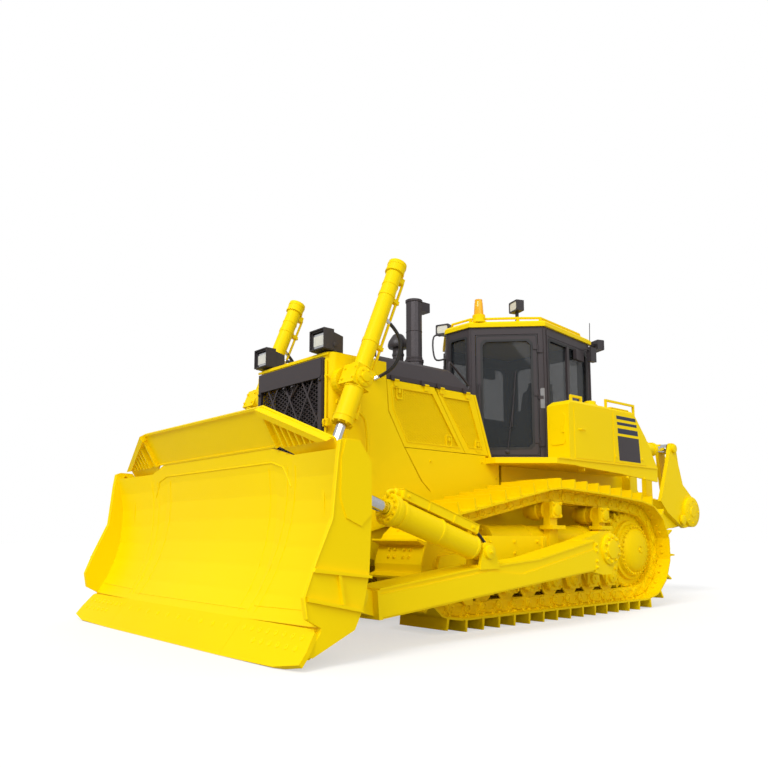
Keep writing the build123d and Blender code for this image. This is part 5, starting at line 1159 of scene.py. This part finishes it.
# %% Seat and controls
def cushion(name, centre, size, lean=0.0):
    """Stuffed cushion: a box whose faces swell, rounded by subdivision."""
    mesh = bmesh.new()
    bmesh.ops.create_cube(mesh, size=1.0)
    bmesh.ops.subdivide_edges(mesh, edges=mesh.edges, cuts=5, use_grid_fill=True)
    for corner in mesh.verts:
        p = corner.co * 2
        swell = 1 + 0.10 * (1 - p.x**2) * (1 - p.y**2)
        squeeze = 1 - 0.06 * (abs(p.x) ** 6 + abs(p.y) ** 6)
        seam_dip = 1 - 0.05 * math.exp(-((abs(p.x) - 0.62) ** 2) / 0.006)
        corner.co = Vector((p.x * size[0] / 2 * squeeze, p.y * size[1] / 2 * squeeze, p.z * size[2] / 2 * swell * seam_dip))
    bmesh.ops.smooth_vert(mesh, verts=mesh.verts, factor=0.5, use_axis_x=True, use_axis_y=True, use_axis_z=True)
    mesh.transform(Matrix.Translation(centre) @ Matrix.Rotation(lean, 4, "X"))
    data = bpy.data.meshes.new(name)
    mesh.to_mesh(data)
    mesh.free()
    data.shade_smooth()
    data.materials.append(seat_fabric)
    piece = place(bpy.data.objects.new(name, data), seat_fabric, "root")
    return piece


cushion("seat_cushion", (0, 0.815, 2.120), (0.50, 0.50, 0.14))
cushion("seat_back", (0, 1.115, 2.500), (0.47, 0.66, 0.13), math.radians(79))
cushion("head_rest", (0, 1.168, 2.835), (0.28, 0.15, 0.10), math.radians(79))
base = Shape()
base.box((-0.21, 0.21), (0.62, 1.06), (1.750, 1.80))
base.box((-0.16, 0.16), (0.67, 1.02), (1.80, 2.00))
base.box((-0.25, 0.25), (0.57, 1.08), (2.00, 2.05))
base.rings([[(-0.20, 1.13, 2.10), (0.20, 1.13, 2.10), (0.20, 1.16, 2.10), (-0.20, 1.16, 2.10)],
            [(-0.20, 1.20, 2.86), (0.20, 1.20, 2.86), (0.20, 1.22, 2.86), (-0.20, 1.22, 2.86)]])
for side in (-1, 1):
    base.box((side * 0.27 - 0.03, side * 0.27 + 0.03), (0.70, 1.05), (2.29, 2.33))
seat_base = base.piece("seat_base", console_plastic, "root")
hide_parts("operator_seat")
controls = Shape()
for x, y in ((0.39, 0.42), (-0.39, 0.42)):
    controls.tube([(x, y, 2.365), (x, y - 0.02, 2.50)], 0.012, 8)
    controls.turned(spot_at((x, y - 0.02, 2.49), (0, -0.1, 1)), [(0.0, 0.020), (0.03, 0.028), (0.09, 0.026), (0.11, 0.015)], 16)
    controls.turned(spot_at((x, y, 2.368), (0, 0, 1)), [(0.0, 0.050), (0.03, 0.022)], 16)
controls.slab(spot_at((0, -0.138, 2.442), (0, 1, 0.3)), oblong(0.22, 0.15, 0.01), -0.02, 0.02)
for x in (-0.10, 0.10):
    controls.slab(spot_at((x, 0.02, 1.86), (0, 0.8, 1)), oblong(0.09, 0.14, 0.01), 0.0, 0.012)
    controls.tube([(x, 0.050, 1.840), (x, 0.070, 1.745)], 0.010, 8)
controls.piece("controls", console_plastic, "root")
print("cab dressed")

# %% [markdown]
# ## Fenders, tank and ripper
#
# The fender boxes carry three navy stripes and a blank charcoal panel. No lettering.

# %% Fender boxes
FLANK_X = 1.2
flank = Matrix.Translation((FLANK_X, 0, 0)) @ Matrix(((0, 0, 1, 0), (1, 0, 0, 0), (0, 1, 0, 0), (0, 0, 0, 1)))
stripes = Shape()
for outline in (
    [(1.094, 2.302), (1.528, 2.302), (1.540, 2.260), (1.098, 2.260)],
    [(1.104, 2.225), (1.550, 2.225), (1.558, 2.190), (1.108, 2.190)],
    [(1.114, 2.149), (1.570, 2.149), (1.580, 2.086), (1.120, 2.086)],
):
    stripes.slab(flank, outline, 0.004, 0.006)
stripes.mirror().piece("fender_stripes", navy, "root")
label = Shape().slab(flank, [(1.108, 2.054), (1.591, 2.052), (1.617, 1.752), (1.133, 1.756)], 0.004, 0.0065)
label.mirror().piece("fender_panel", CHARCOAL_SKIN, "root")

box_parts = Shape()
box_parts.slab(flank, [(1.03, 1.728), (1.03, 2.340), (1.475, 2.340), (1.690, 2.115), (1.760, 1.728)], -0.002, 0.005)
box_parts.slab(flank, [(0.22, 1.728), (0.22, 2.325), (0.98, 2.325), (0.98, 1.728)], -0.002, 0.005)
small_door = spot_at((1.052, 0.120, 2.06), (0, -1, 0))
box_parts.slab(small_door, oblong(0.20, 0.36, 0.03), -0.002, 0.010)
box_parts.slab(small_door @ Matrix.Translation((0.075, 0, 0)), oblong(0.03, 0.09, 0.005), 0.008, 0.022)
for y in (1.06, 1.66):
    box_parts.turned(flank @ Matrix.Translation((y, 1.80, 0)), [(0.0, 0.018), (0.012, 0.018), (0.014, 0.012)], 16)
handle = [(1.196, 0.30, 2.06), (1.228, 0.31, 2.06), (1.228, 0.40, 2.06), (1.196, 0.41, 2.06)]
box_parts.tube(handle, 0.008, 8)
box_parts.turned(spot_at((1.05, 0.78, 2.391), (0, 0, 1), (0, 1, 0)), [(-0.002, 0.085), (0.020, 0.085), (0.028, 0.070), (0.060, 0.068), (0.066, 0.055)], 32)
box_parts.box((0.93, 1.18), (1.02, 1.42), (2.388, 2.402))
box_parts.side([(-0.10, 1.715), (2.02, 1.715), (2.02, 1.700), (-0.10, 1.700)], 1.195, 1.212)
for y in (0.42, 0.95, 1.50):
    box_parts.side([(y, 1.640), (y + 0.02, 1.640), (y + 0.02, 1.585), (y, 1.600)], 1.10, 1.178)
box_parts.mirror()
box_parts.turned(spot_at((0.30, 1.61, 2.310), (0, 0, 1), (0, 1, 0)), [(-0.002, 0.095), (0.015, 0.095), (0.02, 0.08), (0.06, 0.08), (0.066, 0.065)], 32)
for x in (-0.45, 0.45):
    box_parts.box((x - 0.015, x + 0.015), (1.455, 1.470), (1.78, 2.22))
box_parts.piece("fender_parts", YELLOW, "root")
deck_bolts = [spot_at((1.176, y, 1.672), (1, 0, 0)) for y in (0.0, 0.35, 0.75, 1.15, 1.55, 1.95)]
deck_bolts += [spot_at((1.2005, y, 1.560 + 0.0), (1, 0, 0)) for y in (1.30, 1.70)]
bolts("deck_bolts", mirrored(deck_bolts), YELLOW, "root", 0.013)
rear_lamps = Shape().box((0.98, 1.12), (1.79, 1.85), (2.06, 2.15))
rear_lamps.box((1.035, 1.065), (1.77, 1.81), (2.02, 2.08))
rear_lamps.mirror().piece("rear_lamps", housing_plastic, "root")
rear_lenses = Shape().box((0.995, 1.105), (1.849, 1.853), (2.073, 2.137))
rear_lenses.mirror().piece("rear_lamp_lenses", amber, "root")

# %% Ripper
drum = Shape()
drum_end = spot_at((0.700, 3.906, 1.200), (1, 0, 0))
drum.turned(drum_end, [(-0.045, 0.223), (-0.040, 0.2245), (0.012, 0.2245), (0.020, 0.212), (0.022, 0.080), (0.034, 0.074)], 48)
for x in (0.70, 0.50):
    drum.turned(spot_at((x, 3.470, 2.120), (1, 0, 0)), [(-0.024, 0.062), (0.012, 0.062), (0.016, 0.052)], 24)
pin_head = [(-0.01, 0.075), (0.015, 0.075), (0.020, 0.062)]
drum.turned(spot_at((0.700, 3.640, 1.080), (1, 0, 0)), pin_head, 28)
drum.mirror()
drum.box((-0.075, 0.075), (3.80, 4.02), (1.400, 1.425))
drum.turned(spot_at((0.0, 4.05, 1.30), (0, 1, 0)), [(0.0, 0.055), (0.03, 0.055), (0.036, 0.045)], 20)
for y in (3.74, 3.86):
    drum.side([(y, 1.395), (y + 0.03, 1.395), (y + 0.03, 1.46), (y, 1.46)], -0.10, 0.10)
drum.piece("ripper_carriage_parts", YELLOW, "ripper_carriage")
drum_bolts = circle_of((0.712, 3.906, 1.200), (1, 0, 0), 0.165, 8)
bolts("ripper_drum_bolts", mirrored(drum_bolts), YELLOW, "ripper_carriage", 0.014)
tip = Shape()
tip.rings([[(-0.055, 3.690, 0.560), (0.055, 3.690, 0.560), (0.055, 3.790, 0.524), (-0.055, 3.790, 0.524)],
           [(-0.052, 3.745, 0.700), (0.052, 3.745, 0.700), (0.052, 3.885, 0.660), (-0.052, 3.885, 0.660)]])
tip.side([(3.735, 0.74), (3.775, 0.90), (3.816, 0.90), (3.800, 0.74)], -0.048, 0.048)
tip.turned(spot_at((0.050, 3.800, 0.640), (1, 0, 0)), [(-0.1, 0.016), (0.012, 0.016)], 12)
tip.piece("shank_tip", dark_steel, "ripper_carriage")

# bolts and pin heads of the bracket and the arms
bracket = Shape()
for point in ((2.560, 1.000), (2.390, 2.040)):
    bracket.turned(spot_at((0.680, *point), (1, 0, 0)), pin_head, 28)
bracket.side([(2.41, 1.27), (2.44, 1.27), (2.44, 1.83), (2.41, 1.83)], 0.46, 0.66)
bracket.mirror().piece("ripper_bracket_parts", YELLOW, "root")
RIP_LINES = (
    ("ripper_lift", 0.300, (2.470, 1.900), (3.350, 1.090), 0.820, "ripper_lift_barrels"),
    ("ripper_tilt", 0.560, (2.390, 2.040), (3.470, 2.120), 0.700, "ripper_tilt_barrels"),
)
for name, x, base_pin, rod_pin, gland, body in RIP_LINES:
    start = Vector((x, *base_pin))
    line = spot_at(start, Vector((x, *rod_pin)) - start)
    rings = Shape()
    band(rings, line, 0.150, 0.170, 0.0880)
    band(rings, line, gland - 0.064, gland - 0.040, 0.1000)
    band(rings, line, gland - 0.034, gland + 0.003, 0.1000)
    band(rings, line, gland + 0.001, gland + 0.008, 0.064)
    run = [line @ Vector(point) for point in ((0, 0.080, 0.20), (0, 0.105, 0.215), (0, 0.108, 0.26), (0, 0.108, gland - 0.15), (0, 0.085, gland - 0.11))]
    rings.tube(bend(run, 5), 0.010, 8)
    rings.mirror().piece(f"{name}_rings", YELLOW, body)
    glands = [line @ Matrix.Translation((*point, gland + 0.003)) for point in disc(0.082, 8)]
    bolts(f"{name}_bolts", mirrored(glands), YELLOW, body, 0.009)
print("rear dressed")

# %% [markdown]
# ## Light, floor and camera
#
# A studio shot on white: soft light from everywhere, one large soft lamp from the front
# left, and a floor that fades to white but keeps the machine's shadow.

# %% World
world = bpy.data.worlds.new("studio")
bpy.context.scene.world = world
world.use_nodes = True
sky = world.node_tree
background = sky.nodes["Background"]
SKY_LEVEL = 0.58
rays = sky.nodes.new("ShaderNodeLightPath")
seen = sky.nodes.new("ShaderNodeMath")
seen.operation = "MAXIMUM"
sky.links.new(rays.outputs["Is Camera Ray"], seen.inputs[0])
sky.links.new(rays.outputs["Is Transmission Ray"], seen.inputs[1])
level = sky.nodes.new("ShaderNodeMapRange")
level.inputs["To Min"].default_value = SKY_LEVEL
level.inputs["To Max"].default_value = 1.0
sky.links.new(seen.outputs[0], level.inputs["Value"])
sky.links.new(level.outputs[0], background.inputs["Strength"])
background.inputs["Color"].default_value = (1, 1, 1, 1)

# %% Floor
FLOOR_SIZE = 120.0
floor_mesh = bpy.data.meshes.new("studio_floor")
half = FLOOR_SIZE / 2
floor_mesh.from_pydata([(-half, -half, 0), (half, -half, 0), (half, half, 0), (-half, half, 0)], [], [(0, 1, 2, 3)])
floor = bpy.data.objects.new("studio_floor", floor_mesh)
bpy.context.scene.collection.objects.link(floor)
floor_finish = Finish("studio_floor")
camera_ray = floor_finish.node("ShaderNodeLightPath", {}, {}, "Is Camera Ray")
floor_finish.set(
    Base_Color=(0.46, 0.46, 0.46), Roughness=0.9, Emission_Color=floor_finish.mix(camera_ray, (0, 0, 0), (0.54, 0.54, 0.54))
)
floor_finish.shader.inputs["Emission Strength"].default_value = 1.0
floor_mesh.materials.append(floor_finish.material)

# %% Lamps
def sun(name, strength, spread, tilt_by, turn_by):
    data = bpy.data.lights.new(name, "SUN")
    data.energy = strength
    data.angle = math.radians(spread)
    lamp = bpy.data.objects.new(name, data)
    lamp.rotation_euler = (math.radians(tilt_by), 0, math.radians(turn_by))
    bpy.context.scene.collection.objects.link(lamp)


sun("key", 1.87, 28, 48, 18)
sun("side_fill", 0.78, 50, 62, 72)

# %% Camera
camera_data = bpy.data.cameras.new("view")
camera_data.lens = 34.6
camera_data.sensor_width = 36.0
camera_data.shift_y = 61 / 768
camera = bpy.data.objects.new("view", camera_data)
camera.location = (5.999, -6.849, 0.880)
camera.rotation_euler = (math.radians(96.84), 0, math.radians(48.77))
bpy.context.scene.collection.objects.link(camera)
bpy.context.scene.camera = camera
bpy.context.scene.view_settings.view_transform = "Standard"
